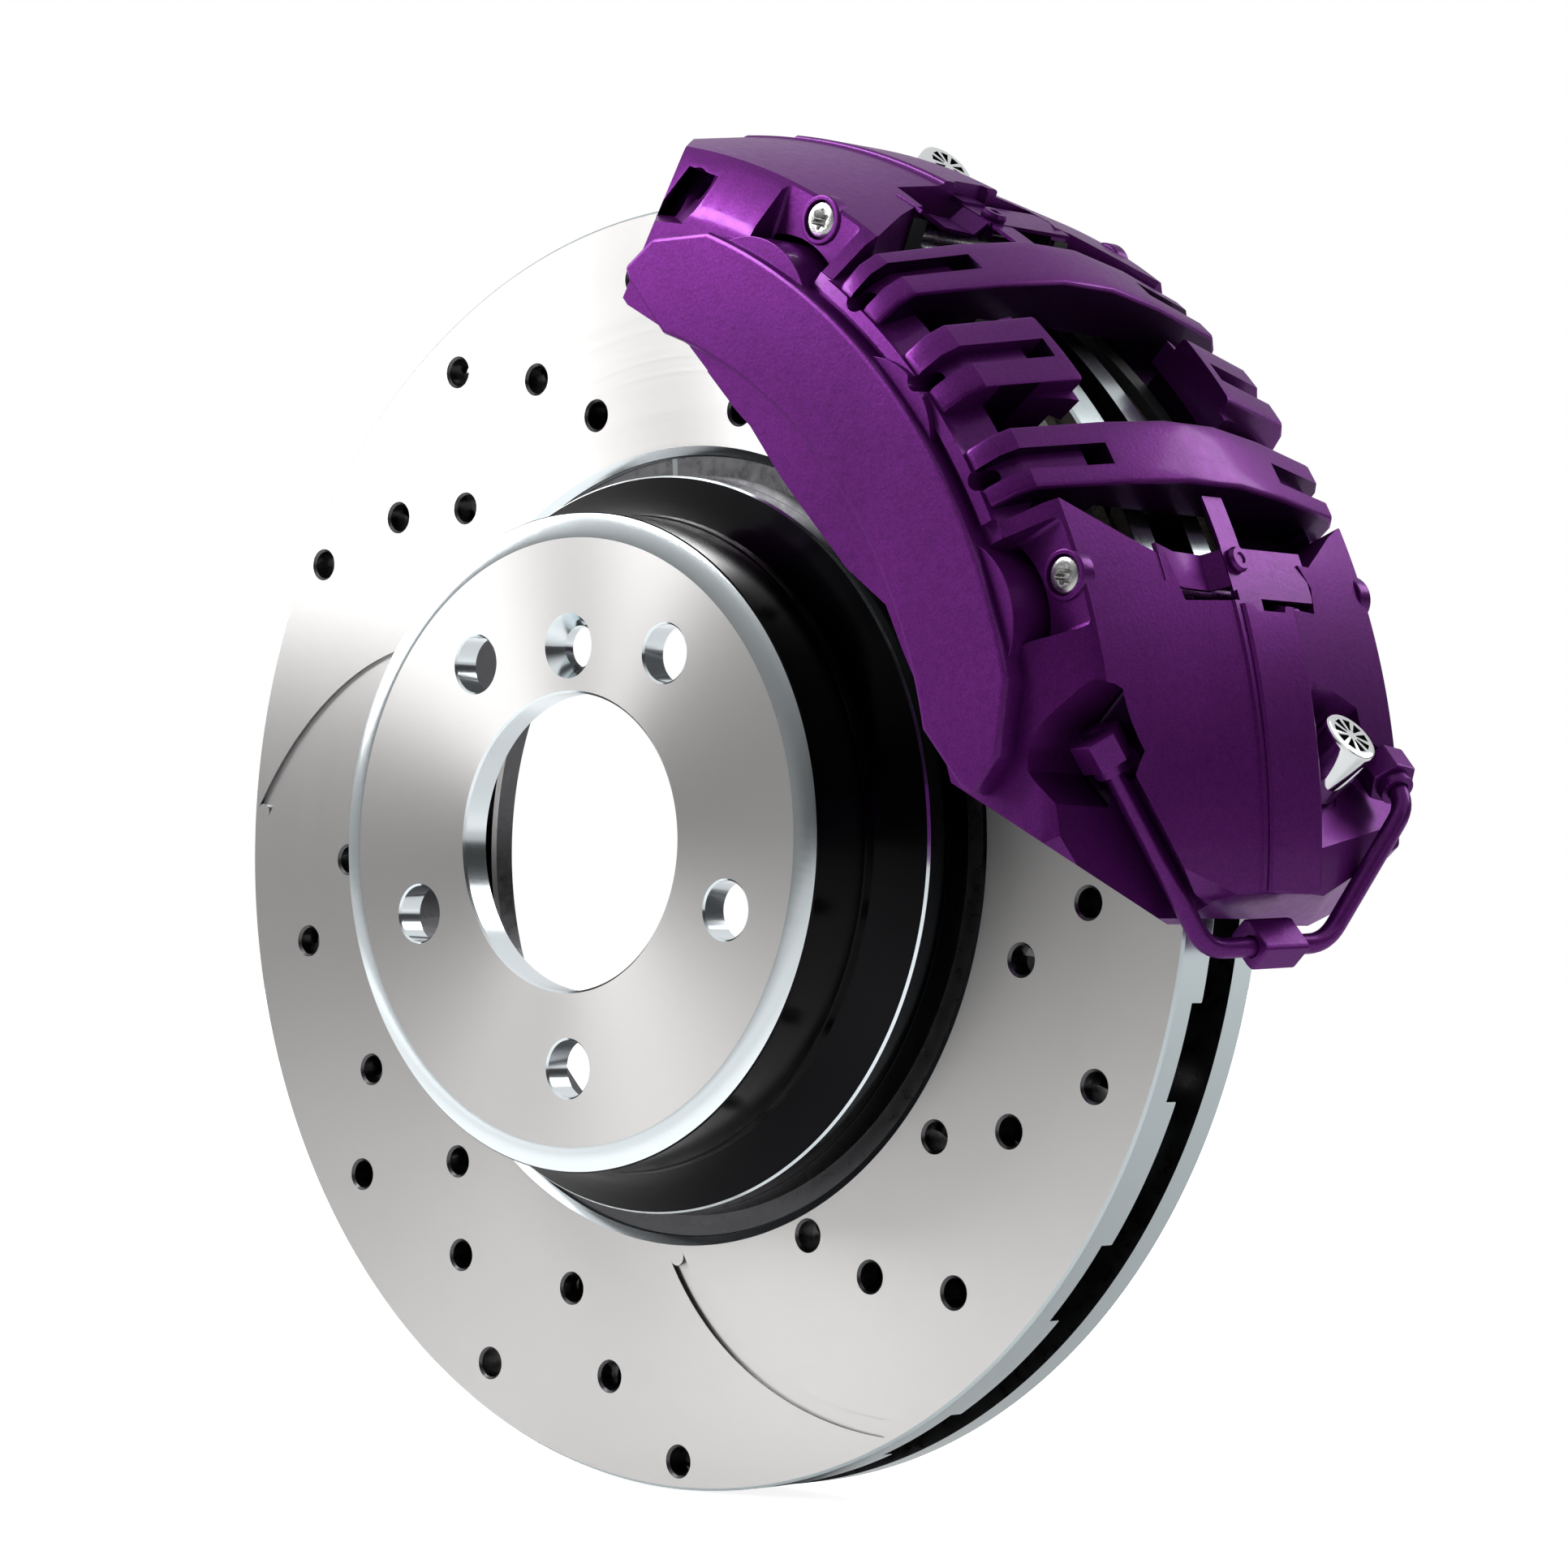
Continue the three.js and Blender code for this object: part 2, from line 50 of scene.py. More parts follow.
# ---------- disc, from the frame ----------
disc_low, disc_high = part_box("brake_disc")
DISC_R = disc_high.x / MM
CHAMFER = 0.7
BACK_Y = disc_high.y / MM
HAT_Y = disc_low.y / MM
THICKNESS = 30
FACE_Y = BACK_Y - THICKNESS
MID_Y = BACK_Y - THICKNESS / 2
OUTER_PLATE = 7.2
INNER_PLATE = 8.2
HAT_R = 87.6
HAT_INNER_R = 80
FLARE_R = 98.8
BORE_R = 39.5
BOLT_CIRCLE_R = 60
BOLT_HOLE_R = 7.65
BOLT_ANGLES = (126, 54, -18, 198, -90)
LOCATING_R = 52
VENT_PERIODS = 16
VENT_PHASE = 7.1
DRILL_ROWS = 15
DRILL_START = 29.2
DRILL_R = 3.9
ROW_HOLES = 3
ROW_PITCH = 19
ROW_INNER_R = 111.3
SLOT_END_R = 170
SLOT_EVERY = 5
SLOT_HALF_WIDTH = 2.5
SLOT_DEPTH = 1.1
LAND_HEIGHT = 4.4
LAND_INNER_R = 168
OUTER_LAND_Y = FACE_Y + OUTER_PLATE
INNER_LAND_Y = BACK_Y - INNER_PLATE

# ---------- caliper, in its own frame: X along the disc's edge, Z out from the axle at its middle ----------
CALIPER_TURN = 50
TO_ROW = Matrix.Rotation(math.radians(CALIPER_TURN), 4, "Y")
CROWN_R = 192.9
MIDDLE_ANGLE = 24
HOUSING_ANGLES = (14.2, 49)
DISC_GAP = 17.4
GAP_ANGLE = 52
GAP_R = 177.6
POCKET_R = 178
POCKET_HALF = 33.4
POCKET_ANGLE = 29.6
BRIDGE = (7.3, 12.9)
FIN = (-3.5, 3.4)
STRAP_HALF = (
    (160, 60), (169.5, 66.8), (173.5, 66.6), (179.2, 64.4), (183.0, 60.6), (189.4, 32.3), (CROWN_R, 10),
)
STRIP_R = 193.7
END_X = 134.6
PLATE_U = 73
PIN_ANGLE = 20
PIN_R = 180.4
OUTER_PISTON_ANGLE = 20.5
PISTONS = ((-OUTER_PISTON_ANGLE, 150.5, 14), (0, 149.5, 17), (OUTER_PISTON_ANGLE, 150.5, 14))
BLEEDER_X = 103.7
BLEEDER_Y = 80
BLEEDER_FLOOR = 144
CAP_HEIGHT = 18.8
CAP_SLOTS = 9
PIPE_R = 2.6
PIPE_BEND_R = 6
NUT_ACROSS = 12
BOSS_R = 149.5
BOSS_RADIUS = 22.3
PIN_FACE_U = 58.4
SLOT_ANGLES = (-10.3, 0, 10.3)
CLIP_R = 189.6
CLIP_ANGLE = 18.9
EAR_X = 97
EAR_Z = 105
EAR_FACES = (92, 110)
HOSE_R = 152
HOSE_ANGLE = -8
HOSE_FACES = (118, 128)
PORT_OUT = Vector((95.1, -4, 149.3))
PORT_IN = Vector((102.9, 103, 152.5))
PIPE_CORNERS = (Vector((138.9, 32, 120.7)), Vector((141.6, 73, 126.6)), Vector((118.4, 99.8, 154)))
PIPE_LEAVES = (PIPE_CORNERS[0] - PORT_OUT).normalized()
PIPE_ENTERS = (PIPE_CORNERS[2] - PORT_IN).normalized()
ENDS = (("leading", -1), ("trailing", 1))
SIDES = (("outer", -1), ("inner", 1))
ALONG = Vector((1, 0, 0))
AXLE = Vector((0, 1, 0))
OUT = Vector((0, 0, 1))

# ---------- camera, in metres ----------
CAMERA_AT = Vector((0.93364, -0.94426, -0.03440))
CAMERA_BACK = Vector((0.67415, -0.73764, -0.03760)).normalized()
CAMERA_RIGHT = Vector((0.73816, 0.67462, 0.0)).normalized()
LENS = 114.65


# ---------- mesh helpers ----------

def new_object(name, vertices, faces, local=True):
    """Closed mesh from millimetre points; local points are in the caliper's own frame."""
    to_metres = (TO_ROW if local else Matrix.Identity(4)) @ Matrix.Scale(MM, 4)
    mesh = bpy.data.meshes.new(name)
    mesh.from_pydata([to_metres @ Vector(v) for v in vertices], [], faces)
    tidy = bmesh.new()
    tidy.from_mesh(mesh)
    bmesh.ops.remove_doubles(tidy, verts=tidy.verts, dist=1e-6)
    bmesh.ops.recalc_face_normals(tidy, faces=tidy.faces)
    tidy.to_mesh(mesh)
    tidy.free()
    obj = bpy.data.objects.new(name, mesh)
    bpy.context.scene.collection.objects.link(obj)
    return obj


def polar(r, angle, y=0.0):
    """Point at a radius and an angle from the caliper's middle."""
    a = math.radians(angle)
    return Vector((r * math.sin(a), y, r * math.cos(a)))


def row_polar(r, angle, y=0.0):
    """Point at a radius and an angle from +X towards +Z, in the row's frame."""
    a = math.radians(angle)
    return Vector((r * math.cos(a), y, r * math.sin(a)))


def sector(profile, start, end, step=1.5):
    """Part of a ring round the axle from a closed outline of (r, y), closed at both ends."""
    count = max(1, math.ceil(abs(end - start) / step))
    n = len(profile)
    points = [polar(r, start + (end - start) * i / count, y) for i in range(count + 1) for r, y in profile]
    faces = [
        (i * n + j, i * n + (j + 1) % n, (i + 1) * n + (j + 1) % n, (i + 1) * n + j)
        for i in range(count)
        for j in range(n)
    ]
    faces += [tuple(range(n)), tuple(range(count * n, (count + 1) * n))]
    return new_object("sector", points, faces)


def ring(profile, segments=360):
    """Full ring round the axle from a closed outline of (r, y)."""
    n = len(profile)
    points = [polar(r, 360 * i / segments, y) for i in range(segments) for r, y in profile]
    faces = [
        (i * n + j, i * n + (j + 1) % n, (i + 1) % segments * n + (j + 1) % n, (i + 1) % segments * n + j)
        for i in range(segments)
        for j in range(n)
    ]
    return new_object("ring", points, faces, False)


def block(r0, r1, y0, y1, start, end):
    """Part of a ring with a square section."""
    return sector([(r0, y0), (r1, y0), (r1, y1), (r0, y1)], start, end)


def basis(direction):
    """Two unit vectors square to a direction, and the direction."""
    d = direction.normalized()
    helper = OUT if abs(d.z) < 0.9 else ALONG
    across = helper.cross(d).normalized()
    return across, d.cross(across), d


def loft(low, high, local=True):
    """Closed solid between two loops of points with the same count."""
    n = len(low)
    faces = [(i, (i + 1) % n, n + (i + 1) % n, n + i) for i in range(n)]
    faces += [tuple(range(n)), tuple(range(n, 2 * n))]
    return new_object("loft", [*low, *high], faces, local)


def prism(outline, at, direction, h0, h1, axes=None):
    """Prism along a direction from an outline of (a, b) points round a centre."""
    across, up, d = axes or basis(direction)
    low, high = [[at + across * a + up * b + d * h for a, b in outline] for h in (h0, h1)]
    return loft(low, high)


def axial(outline, y0, y1):
    """Prism along the axle from an outline of (x, z) points."""
    return prism(outline, Vector(), AXLE, y0, y1, axes=(ALONG, OUT, AXLE))


def funnel(low, r0, high, r1):
    """Solid between two (angle, y) outlines at two radii."""
    return loft([polar(r0, a, y) for a, y in low], [polar(r1, a, y) for a, y in high])


def row_prism(outline, y0, y1):
    """Prism along the axle in the row's frame, from an outline of points."""
    low, high = [[Vector((p.x, y, p.z)) for p in outline] for y in (y0, y1)]
    return loft(low, high, False)


def turned(profile, at, direction, segments=32, local=True):
    """Solid of revolution round a line, from (r, height) points; open outlines start and end on the line."""
    across, up, d = basis(direction)
    n = len(profile)
    spokes = [2 * math.pi * i / segments for i in range(segments)]
    points = [
        at + across * (r * math.cos(t)) + up * (r * math.sin(t)) + d * h for t in spokes for r, h in profile
    ]
    around = range(n) if profile[0][0] > 0 else range(n - 1)
    faces = []
    for i in range(segments):
        k = (i + 1) % segments
        for j in around:
            faces.append((i * n + j, i * n + (j + 1) % n, k * n + (j + 1) % n, k * n + j))
    return new_object("turned", points, faces, local)


def rod(radius, h0, h1, at, direction=AXLE, segments=32):
    """Round bar between two heights along a line."""
    return turned([(0, h0), (radius, h0), (radius, h1), (0, h1)], at, direction, segments)


def evaluated(obj):
    """Applies every modifier of an object."""
    graph = bpy.context.evaluated_depsgraph_get()
    mesh = bpy.data.meshes.new_from_object(obj.evaluated_get(graph))
    obj.modifiers.clear()
    obj.data = mesh
    return obj


def softened(obj, width=0.8, segments=2, angle=25):
    """Rounds an object's convex edges."""
    bevel = obj.modifiers.new("round", "BEVEL")
    bevel.width = width * MM
    bevel.segments = segments
    bevel.limit_method = "ANGLE"
    bevel.angle_limit = math.radians(angle)
    bevel.use_clamp_overlap = True
    return evaluated(obj)


def combined(base, operation, *tools):
    """Joins or cuts a base with tools, one after the other, and removes the tools."""
    for tool in tools:
        boolean = base.modifiers.new(operation, "BOOLEAN")
        boolean.operation = operation
        boolean.solver = "MANIFOLD"
        boolean.object = tool
    evaluated(base)
    for tool in tools:
        bpy.data.objects.remove(tool)
    return base


def joined(base, *tools):
    return combined(base, "UNION", *tools)


def cut(base, *tools):
    return combined(base, "DIFFERENCE", *tools)


def kept(base, *tools):
    return combined(base, "INTERSECT", *tools)


def finish_mesh(obj, sharp=28, bevel=0.0):
    """Cleans a boolean result, rounds its edges and shades it smooth between sharp edges."""
    mesh = obj.data
    tidy = bmesh.new()
    tidy.from_mesh(mesh)
    bmesh.ops.remove_doubles(tidy, verts=tidy.verts, dist=2e-5)
    bmesh.ops.dissolve_degenerate(tidy, edges=tidy.edges, dist=1e-6)
    bmesh.ops.dissolve_limit(tidy, angle_limit=math.radians(0.3), verts=tidy.verts, edges=tidy.edges)
    tidy.to_mesh(mesh)
    tidy.free()
    if bevel:
        softened(obj, bevel, 2, sharp)
        mesh = obj.data
    tidy = bmesh.new()
    tidy.from_mesh(mesh)
    for face in tidy.faces:
        face.smooth = True
    for edge in tidy.edges:
        edge.smooth = edge.is_manifold and edge.calc_face_angle(0) < math.radians(sharp)
    tidy.to_mesh(mesh)
    tidy.free()
    weighted = obj.modifiers.new("weighted", "WEIGHTED_NORMAL")
    weighted.keep_sharp = True
    weighted.weight = 80
    return obj


def place(obj, name, body, slot, material, *nodes):
    """Names a finished piece, gives it a body and a material, and hides what it stands for; the slot argument
    is not used.
    """
    obj.name = name
    obj.data.name = name
    obj.data.materials.clear()
    obj.data.materials.append(material)
    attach(obj, body)
    if nodes:
        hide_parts(*nodes)
    return obj


# ---------- materials ----------

class Nodes:
    """Small wrapper that adds and links shader nodes."""

    def __init__(self, name):
        self.material = bpy.data.materials.new(name)
        self.material.use_nodes = True
        self.tree = self.material.node_tree
        self.shader = self.tree.nodes["Principled BSDF"]

    def add(self, kind, **values):
        node = self.tree.nodes.new("ShaderNode" + kind)
        for key, value in values.items():
            if hasattr(node, key):
                setattr(node, key, value)
            else:
                node.inputs[key.replace("_", " ")].default_value = value
        return node

    def link(self, source, output, target, into):
        self.tree.links.new(source.outputs[output], target.inputs[into])

    def set(self, **values):
        for key, value in values.items():
            self.shader.inputs[key.replace("_", " ")].default_value = value

    def position(self):
        return self.add("TexCoord"), "Object"

    def noise(self, scale, detail=3.0, roughness=0.5):
        node = self.add("TexNoise", Scale=scale, Detail=detail, Roughness=roughness)
        source, output = self.position()
        self.link(source, output, node, "Vector")
        return node

    def ramp(self, source, output, low, high, start=0.3, end=0.7):
        node = self.add("ValToRGB")
        node.color_ramp.elements[0].position = start
        node.color_ramp.elements[1].position = end
        node.color_ramp.elements[0].color = (*low, 1)
        node.color_ramp.elements[1].color = (*high, 1)
        self.link(source, output, node, "Fac")
        return node

    def span(self, source, output, low, high, start=0.0, end=1.0):
        node = self.add("MapRange")
        for key, value in (("From Min", start), ("From Max", end), ("To Min", low), ("To Max", high)):
            node.inputs[key].default_value = value
        self.link(source, output, node, "Value")
        return node

    def bump(self, source, output, strength, distance):
        node = self.add("Bump", Strength=strength, Distance=distance)
        self.link(source, output, node, "Height")
        self.link(node, "Normal", self.shader, "Normal")


def paint(name, low=(0.060, 0.0045, 0.084), high=(0.118, 0.012, 0.156)):
    """Metallic lacquer with a thin clear coat: fine flakes, slight colour drift and a faint orange peel."""
    n = Nodes(name)
    n.set(Metallic=0.65, Coat_Weight=0.12, Coat_Roughness=0.12)
    n.set(Specular_IOR_Level=0.35, Specular_Tint=(0.70, 0.42, 0.80, 1))
    drift = n.noise(14, 2)
    flakes = n.add("TexVoronoi", Scale=2600.0)
    source, output = n.position()
    n.link(source, output, flakes, "Vector")
    base = n.ramp(drift, "Fac", low, high, 0.25, 0.8)
    bright = n.ramp(flakes, "Color", (0.78, 0.78, 0.78), (1.5, 1.4, 1.55), 0.25, 0.95)
    mix = n.add("Mix", data_type="RGBA", blend_type="MULTIPLY")
    mix.inputs[0].default_value = 0.55
    n.tree.links.new(base.outputs["Color"], mix.inputs[6])
    n.tree.links.new(bright.outputs["Color"], mix.inputs[7])
    n.tree.links.new(mix.outputs[2], n.shader.inputs["Base Color"])
    gloss = n.noise(420, 2)
    n.link(n.span(gloss, "Fac", 0.30, 0.44), "Result", n.shader, "Roughness")
    peel = n.noise(900, 2)
    n.bump(peel, "Fac", 0.10, 0.0004)
    return n.material


def turned_metal(name, colour, roughness, rings=900.0, strength=0.05, anisotropic=0.0, mottle=0.05):
    """Lathe-turned metal: fine rings round the axle, with small changes of shine."""
    n = Nodes(name)
    n.set(Metallic=1.0, Anisotropic=anisotropic)
    drift = n.noise(9, 4)
    shade = [c * (1 - mottle) for c in colour]
    n.link(n.ramp(drift, "Fac", shade, colour), "Color", n.shader, "Base Color")
    source, output = n.position()
    parts = n.add("SeparateXYZ")
    n.link(source, output, parts, "Vector")
    flat = n.add("CombineXYZ")
    n.link(parts, "X", flat, "X")
    n.link(parts, "Z", flat, "Z")
    length = n.add("VectorMath", operation="LENGTH")
    n.link(flat, "Vector", length, "Vector")
    along = n.add("CombineXYZ")
    n.link(length, "Value", along, "X")
    n.link(parts, "Y", along, "Y")
    lines = n.add("TexNoise", Scale=rings, Detail=4.0, Roughness=0.7)
    n.link(along, "Vector", lines, "Vector")
    shine = n.span(lines, "Fac", roughness * 0.93, roughness * 1.08, 0.25, 0.75)
    n.link(shine, "Result", n.shader, "Roughness")
    if anisotropic:
        n.set(Anisotropic_Rotation=0.25)
        tangent = n.add("Tangent", direction_type="RADIAL", axis="Y")
        n.link(tangent, "Tangent", n.shader, "Tangent")
    n.bump(lines, "Fac", strength, 0.0002)
    return n.material


def plain_metal(name, colour, roughness, grain=700.0, strength=0.06, mottle=0.12):
    """Formed or plated metal with a fine grain and faint stains."""
    n = Nodes(name)
    n.set(Metallic=1.0)
    drift = n.noise(60, 5, 0.6)
    shade = [c * (1 - mottle) for c in colour]
    n.link(n.ramp(drift, "Fac", shade, colour), "Color", n.shader, "Base Color")
    fine = n.noise(grain, 4, 0.6)
    shine = n.span(fine, "Fac", roughness * 0.75, roughness * 1.3, 0.25, 0.75)
    n.link(shine, "Result", n.shader, "Roughness")
    n.bump(fine, "Fac", strength, 0.0002)
    return n.material


def rough_solid(name, low, high, roughness, grain=500.0, strength=0.4, specular=0.3):
    """Rubber, compound or powder coat: dull, with a fine uneven surface."""
    n = Nodes(name)
    n.set(Metallic=0.0, Specular_IOR_Level=specular)
    speckle = n.noise(grain, 6, 0.7)
    n.link(n.ramp(speckle, "Fac", low, high, 0.35, 0.75), "Color", n.shader, "Base Color")
    shine = n.span(speckle, "Fac", roughness * 0.85, min(1, roughness * 1.15))
    n.link(shine, "Result", n.shader, "Roughness")
    n.bump(speckle, "Fac", strength, 0.0003)
    return n.material


PAINT = paint("caliper_paint")
# Darker copy of the caliper paint: painted shade in the slots' wells, inside and under the body and on the
# nut pocket's floor.
SHADE_PAINT = paint("caliper_painted_shade", (0.010, 0.001, 0.016), (0.022, 0.003, 0.032))
FACE_METAL = turned_metal("disc_face_metal", (0.66, 0.65, 0.642), 0.30, 1600.0, 0.012, 0.75)
# Darker copy of the bright disc metal: painted shade on the disc's rim.
RIM_SHADE_METAL = turned_metal("disc_rim_painted_shade", (0.50, 0.56, 0.58), 0.22, 600.0, 0.02)
BRIGHT_METAL = turned_metal("disc_bright_metal", (0.78, 0.84, 0.87), 0.14, 600.0, 0.02)
# Near-black metal on the hat's side wall: painted shade.
HAT_WALL_SHADE = turned_metal("disc_hat_wall_painted_shade", (0.010, 0.010, 0.011), 0.16, 500.0, 0.04, 0.0, 0.3)
# Dark iron: the as-cast iron inside the vents and the hat, and painted shade on the walls of the drilled
# holes and slots.
CASTING_AND_SHADE = plain_metal("disc_casting_and_painted_shade", (0.10, 0.10, 0.105), 0.30, 350.0, 0.25)
CHROME = plain_metal("cap_chrome", (0.72, 0.74, 0.75), 0.05, 300.0, 0.01, 0.04)
CAP_BLACK = rough_solid("cap_slots", (0.008, 0.008, 0.008), (0.02, 0.02, 0.02), 0.5)
PIN_STEEL = plain_metal("pin_steel", (0.66, 0.66, 0.65), 0.24)
# Stainless sheet darkened below its own tone: painted shade for the shims and abutment plates inside the
# caliper's windows.
SHEET_STEEL_SHADED = plain_metal("stainless_sheet_painted_shade", (0.24, 0.24, 0.25), 0.45, 900.0, 0.05)
ALLOY = plain_metal("piston_alloy", (0.42, 0.43, 0.45), 0.34, 800.0, 0.05)
RUBBER = rough_solid("seal_rubber", (0.012, 0.012, 0.012), (0.03, 0.03, 0.03), 0.7, 900.0, 0.15)
BACKING = rough_solid("backing_black", (0.014, 0.014, 0.016), (0.035, 0.035, 0.038), 0.5, 1200.0, 0.15, 0.5)
LINING = rough_solid("lining_friction", (0.03, 0.027, 0.024), (0.13, 0.12, 0.10), 0.9, 700.0, 0.6, 0.2)


# ---------- camera, floor and light ----------

def light_the_room(tree):
    """White backdrop, and a dimmer room for the light: soft grey, brighter overhead."""
    coordinates = tree.nodes.new("ShaderNodeTexCoord")
    height = tree.nodes.new("ShaderNodeVectorMath")
    height.operation = "DOT_PRODUCT"
    height.inputs[1].default_value = (-0.35, 0.10, 0.93)
    tree.links.new(coordinates.outputs["Generated"], height.inputs[0])
    fall = tree.nodes.new("ShaderNodeMapRange")
    fall.interpolation_type = "SMOOTHSTEP"
    for key, value in (("From Min", 0.0), ("From Max", 0.8), ("To Min", 0.05), ("To Max", 0.85)):
        fall.inputs[key].default_value = value
    tree.links.new(height.outputs["Value"], fall.inputs["Value"])
    room = tree.nodes["Background"]
    tree.links.new(fall.outputs["Result"], room.inputs["Strength"])
    room.inputs["Color"].default_value = (1, 1, 1, 1)
    backdrop = tree.nodes.new("ShaderNodeBackground")
    backdrop.inputs["Color"].default_value = (1, 1, 1, 1)
    mix = tree.nodes.new("ShaderNodeMixShader")
    path = tree.nodes.new("ShaderNodeLightPath")
    tree.links.new(path.outputs["Is Camera Ray"], mix.inputs["Fac"])
    tree.links.new(room.outputs["Background"], mix.inputs[1])
    tree.links.new(backdrop.outputs["Background"], mix.inputs[2])
    tree.links.new(mix.outputs["Shader"], tree.nodes["World Output"].inputs["Surface"])


def link_object(name, data):
    obj = bpy.data.objects.new(name, data)
    bpy.context.scene.collection.objects.link(obj)
    return obj


def place_camera():
    """Puts the camera at the photograph's viewing angle."""
    camera = link_object("camera", bpy.data.cameras.new("camera"))
    camera.data.lens = LENS
    camera.data.sensor_width = 36
    camera.data.clip_end = 50
    axes = Matrix((CAMERA_RIGHT, CAMERA_BACK.cross(CAMERA_RIGHT), CAMERA_BACK))
    matrix = axes.transposed().to_4x4()
    matrix.translation = CAMERA_AT
    camera.matrix_world = matrix
    bpy.context.scene.camera = camera


def pale_floor():
    """Level floor just under the disc; it looks white, and sends only a little light up."""
    size = 30
    floor_z = disc_low.z - 0.0005
    mesh = bpy.data.meshes.new("floor")
    corners = [(x * size, y * size, floor_z) for x, y in ((-1, -1), (1, -1), (1, 1), (-1, 1))]
    mesh.from_pydata(corners, [], [(0, 1, 2, 3)])
    n = Nodes("floor_pale")
    n.set(Roughness=0.9, Specular_IOR_Level=0.1, Emission_Color=(1, 1, 1, 1))
    glow = n.span(n.add("LightPath"), "Is Camera Ray", 0.02, 0.9)
    n.link(glow, "Result", n.shader, "Emission Strength")
    grain = n.noise(3, 2)
    n.link(n.ramp(grain, "Fac", (0.90, 0.90, 0.90), (0.93, 0.93, 0.93)), "Color", n.shader, "Base Color")
    mesh.materials.append(n.material)
    link_object("floor", mesh)


def softbox(name, at, target, width, height, power):
    """Rectangular lamp that faces a target and isn't seen itself."""
    data = bpy.data.lights.new(name, "AREA")
    data.shape = "RECTANGLE"
    data.size = width
    data.size_y = height
    data.energy = power
    lamp = link_object(name, data)
    lamp.location = at
    lamp.visible_camera = False
    lamp.rotation_euler = (Vector(at) - Vector(target)).to_track_quat("Z", "Y").to_euler()


def studio():
    place_camera()
    pale_floor()
    world = bpy.data.worlds.new("studio")
    bpy.context.scene.world = world
    world.use_nodes = True
    light_the_room(world.node_tree)
    bpy.context.scene.view_settings.view_transform = "Standard"
    softbox("strip_high", (-1.67, -0.9, 0.66), (0, 0, 0), 0.6, 0.8, 12)
    softbox("strip_low", (-1.02, -1.53, -0.48), (0, 0, 0), 0.6, 0.6, 5)
    softbox("key", (-0.22, -0.36, 0.40), (0.0, 0, 0.19), 0.2, 0.2, 2.9)
    softbox("top", (0.6, 1.2, 0.85), (0.12, 0.05, 0.08), 0.6, 0.5, 6)
    softbox("rim", (1.6, 0.5, 0.8), (0.1, 0, 0.05), 0.5, 1.2, 2)


# ---------- disc ----------

def row_sweep(r):
    """How far a drilled row or slot has swept round by radius r."""
    out = r - ROW_INNER_R
    return 0.3 * out + 0.0026 * out * out


def slot_cutter(base, y):
    """Curved groove with round ends and a flat floor, cut into a friction face."""
    steps = 28
    middle = []
    for i in range(steps + 1):
        r = ROW_INNER_R + (SLOT_END_R - ROW_INNER_R) * i / steps
        middle.append(row_polar(r, base + row_sweep(r)))
    left, right = [], []
    for i, p in enumerate(middle):
        ahead = middle[min(i + 1, steps)] - middle[max(i - 1, 0)]
        side = Vector((-ahead.z, 0, ahead.x)).normalized() * SLOT_HALF_WIDTH
        left.append(p + side)
        right.append(p - side)

    def cap(centre, start):
        spoke = start - centre
        turns = [Matrix.Rotation(math.radians(-180 * k / 8), 3, "Y") for k in range(1, 8)]
        return [centre + turn @ spoke for turn in turns]

    outline = left + cap(middle[-1], left[-1]) + right[::-1] + cap(middle[0], right[0])
    return row_prism(outline, y - SLOT_DEPTH, y + SLOT_DEPTH)


def hat_profile():
    """Section of the hat and the outboard plate, as (r, y)."""
    flare = [(HAT_R + 11.2 * t ** 1.7, 12.6 + 11 * t) for t in (0.2, 0.4, 0.6, 0.8, 1)]
    return [
        (BORE_R + 0.6, HAT_Y), (80.7, HAT_Y), (HAT_R - 0.4, HAT_Y + 1.7), (HAT_R, HAT_Y + 2.1),
        (HAT_R, 12.2), (HAT_R + 0.4, 12.6), *flare,
        (FLARE_R + 0.5, 24.4), (FLARE_R + 0.5, 30.2), (FLARE_R, 30.4), (FLARE_R, 31.0), (FLARE_R + 0.5, 31.2),
        (FLARE_R + 0.5, 35.3), (100.2, 38.2), (105.6, 38.2), (106, 37.8), (106, 37.2), (106.6, 36.9),
        (108.3, FACE_Y), (DISC_R - CHAMFER, FACE_Y), (DISC_R, FACE_Y + CHAMFER),
        (DISC_R, OUTER_LAND_Y), (HAT_INNER_R + 12, OUTER_LAND_Y), (HAT_INNER_R + 4, 38), (HAT_INNER_R, 30),
        (HAT_INNER_R, 2), (HAT_INNER_R - 2, 0), (BORE_R + 0.6, 0), (BORE_R, 0.6), (BORE_R, HAT_Y + 0.6),
    ]


def inner_plate_profile():
    """Section of the inboard plate, as (r, y)."""
    return [
        (96, INNER_LAND_Y), (DISC_R, INNER_LAND_Y), (DISC_R, BACK_Y - CHAMFER), (DISC_R - CHAMFER, BACK_Y),
        (108, BACK_Y), (106, BACK_Y - 1), (101, BACK_Y - 1), (99, BACK_Y), (96, BACK_Y), (95, BACK_Y - 1),
        (95, INNER_LAND_Y + 1),
    ]


def vane_outline(centre, half_angle, r_out, r_in, thickness):
    """U-shaped rib: its bend follows the rim and its two legs run inwards."""
    outer, inner = [], []
    steps = 12
    for i in range(steps + 1):
        a = centre - half_angle + 2 * half_angle * i / steps
        edge = abs(i / steps * 2 - 1) ** 3
        outer.append(row_polar(r_out - 5 * edge, a))
        inner.append(row_polar(r_out - thickness - 5 * edge, a + (-1 if i > steps / 2 else 1) * edge * 1.4))
    low_right = row_polar(r_in, centre + half_angle - 3)
    low_right_in = row_polar(r_in, centre + half_angle - 4.6)
    low_left = row_polar(r_in, centre - half_angle - 3)
    low_left_in = row_polar(r_in, centre - half_angle - 1.4)
    return outer + [low_right, low_right_in] + inner[::-1] + [low_left_in, low_left]


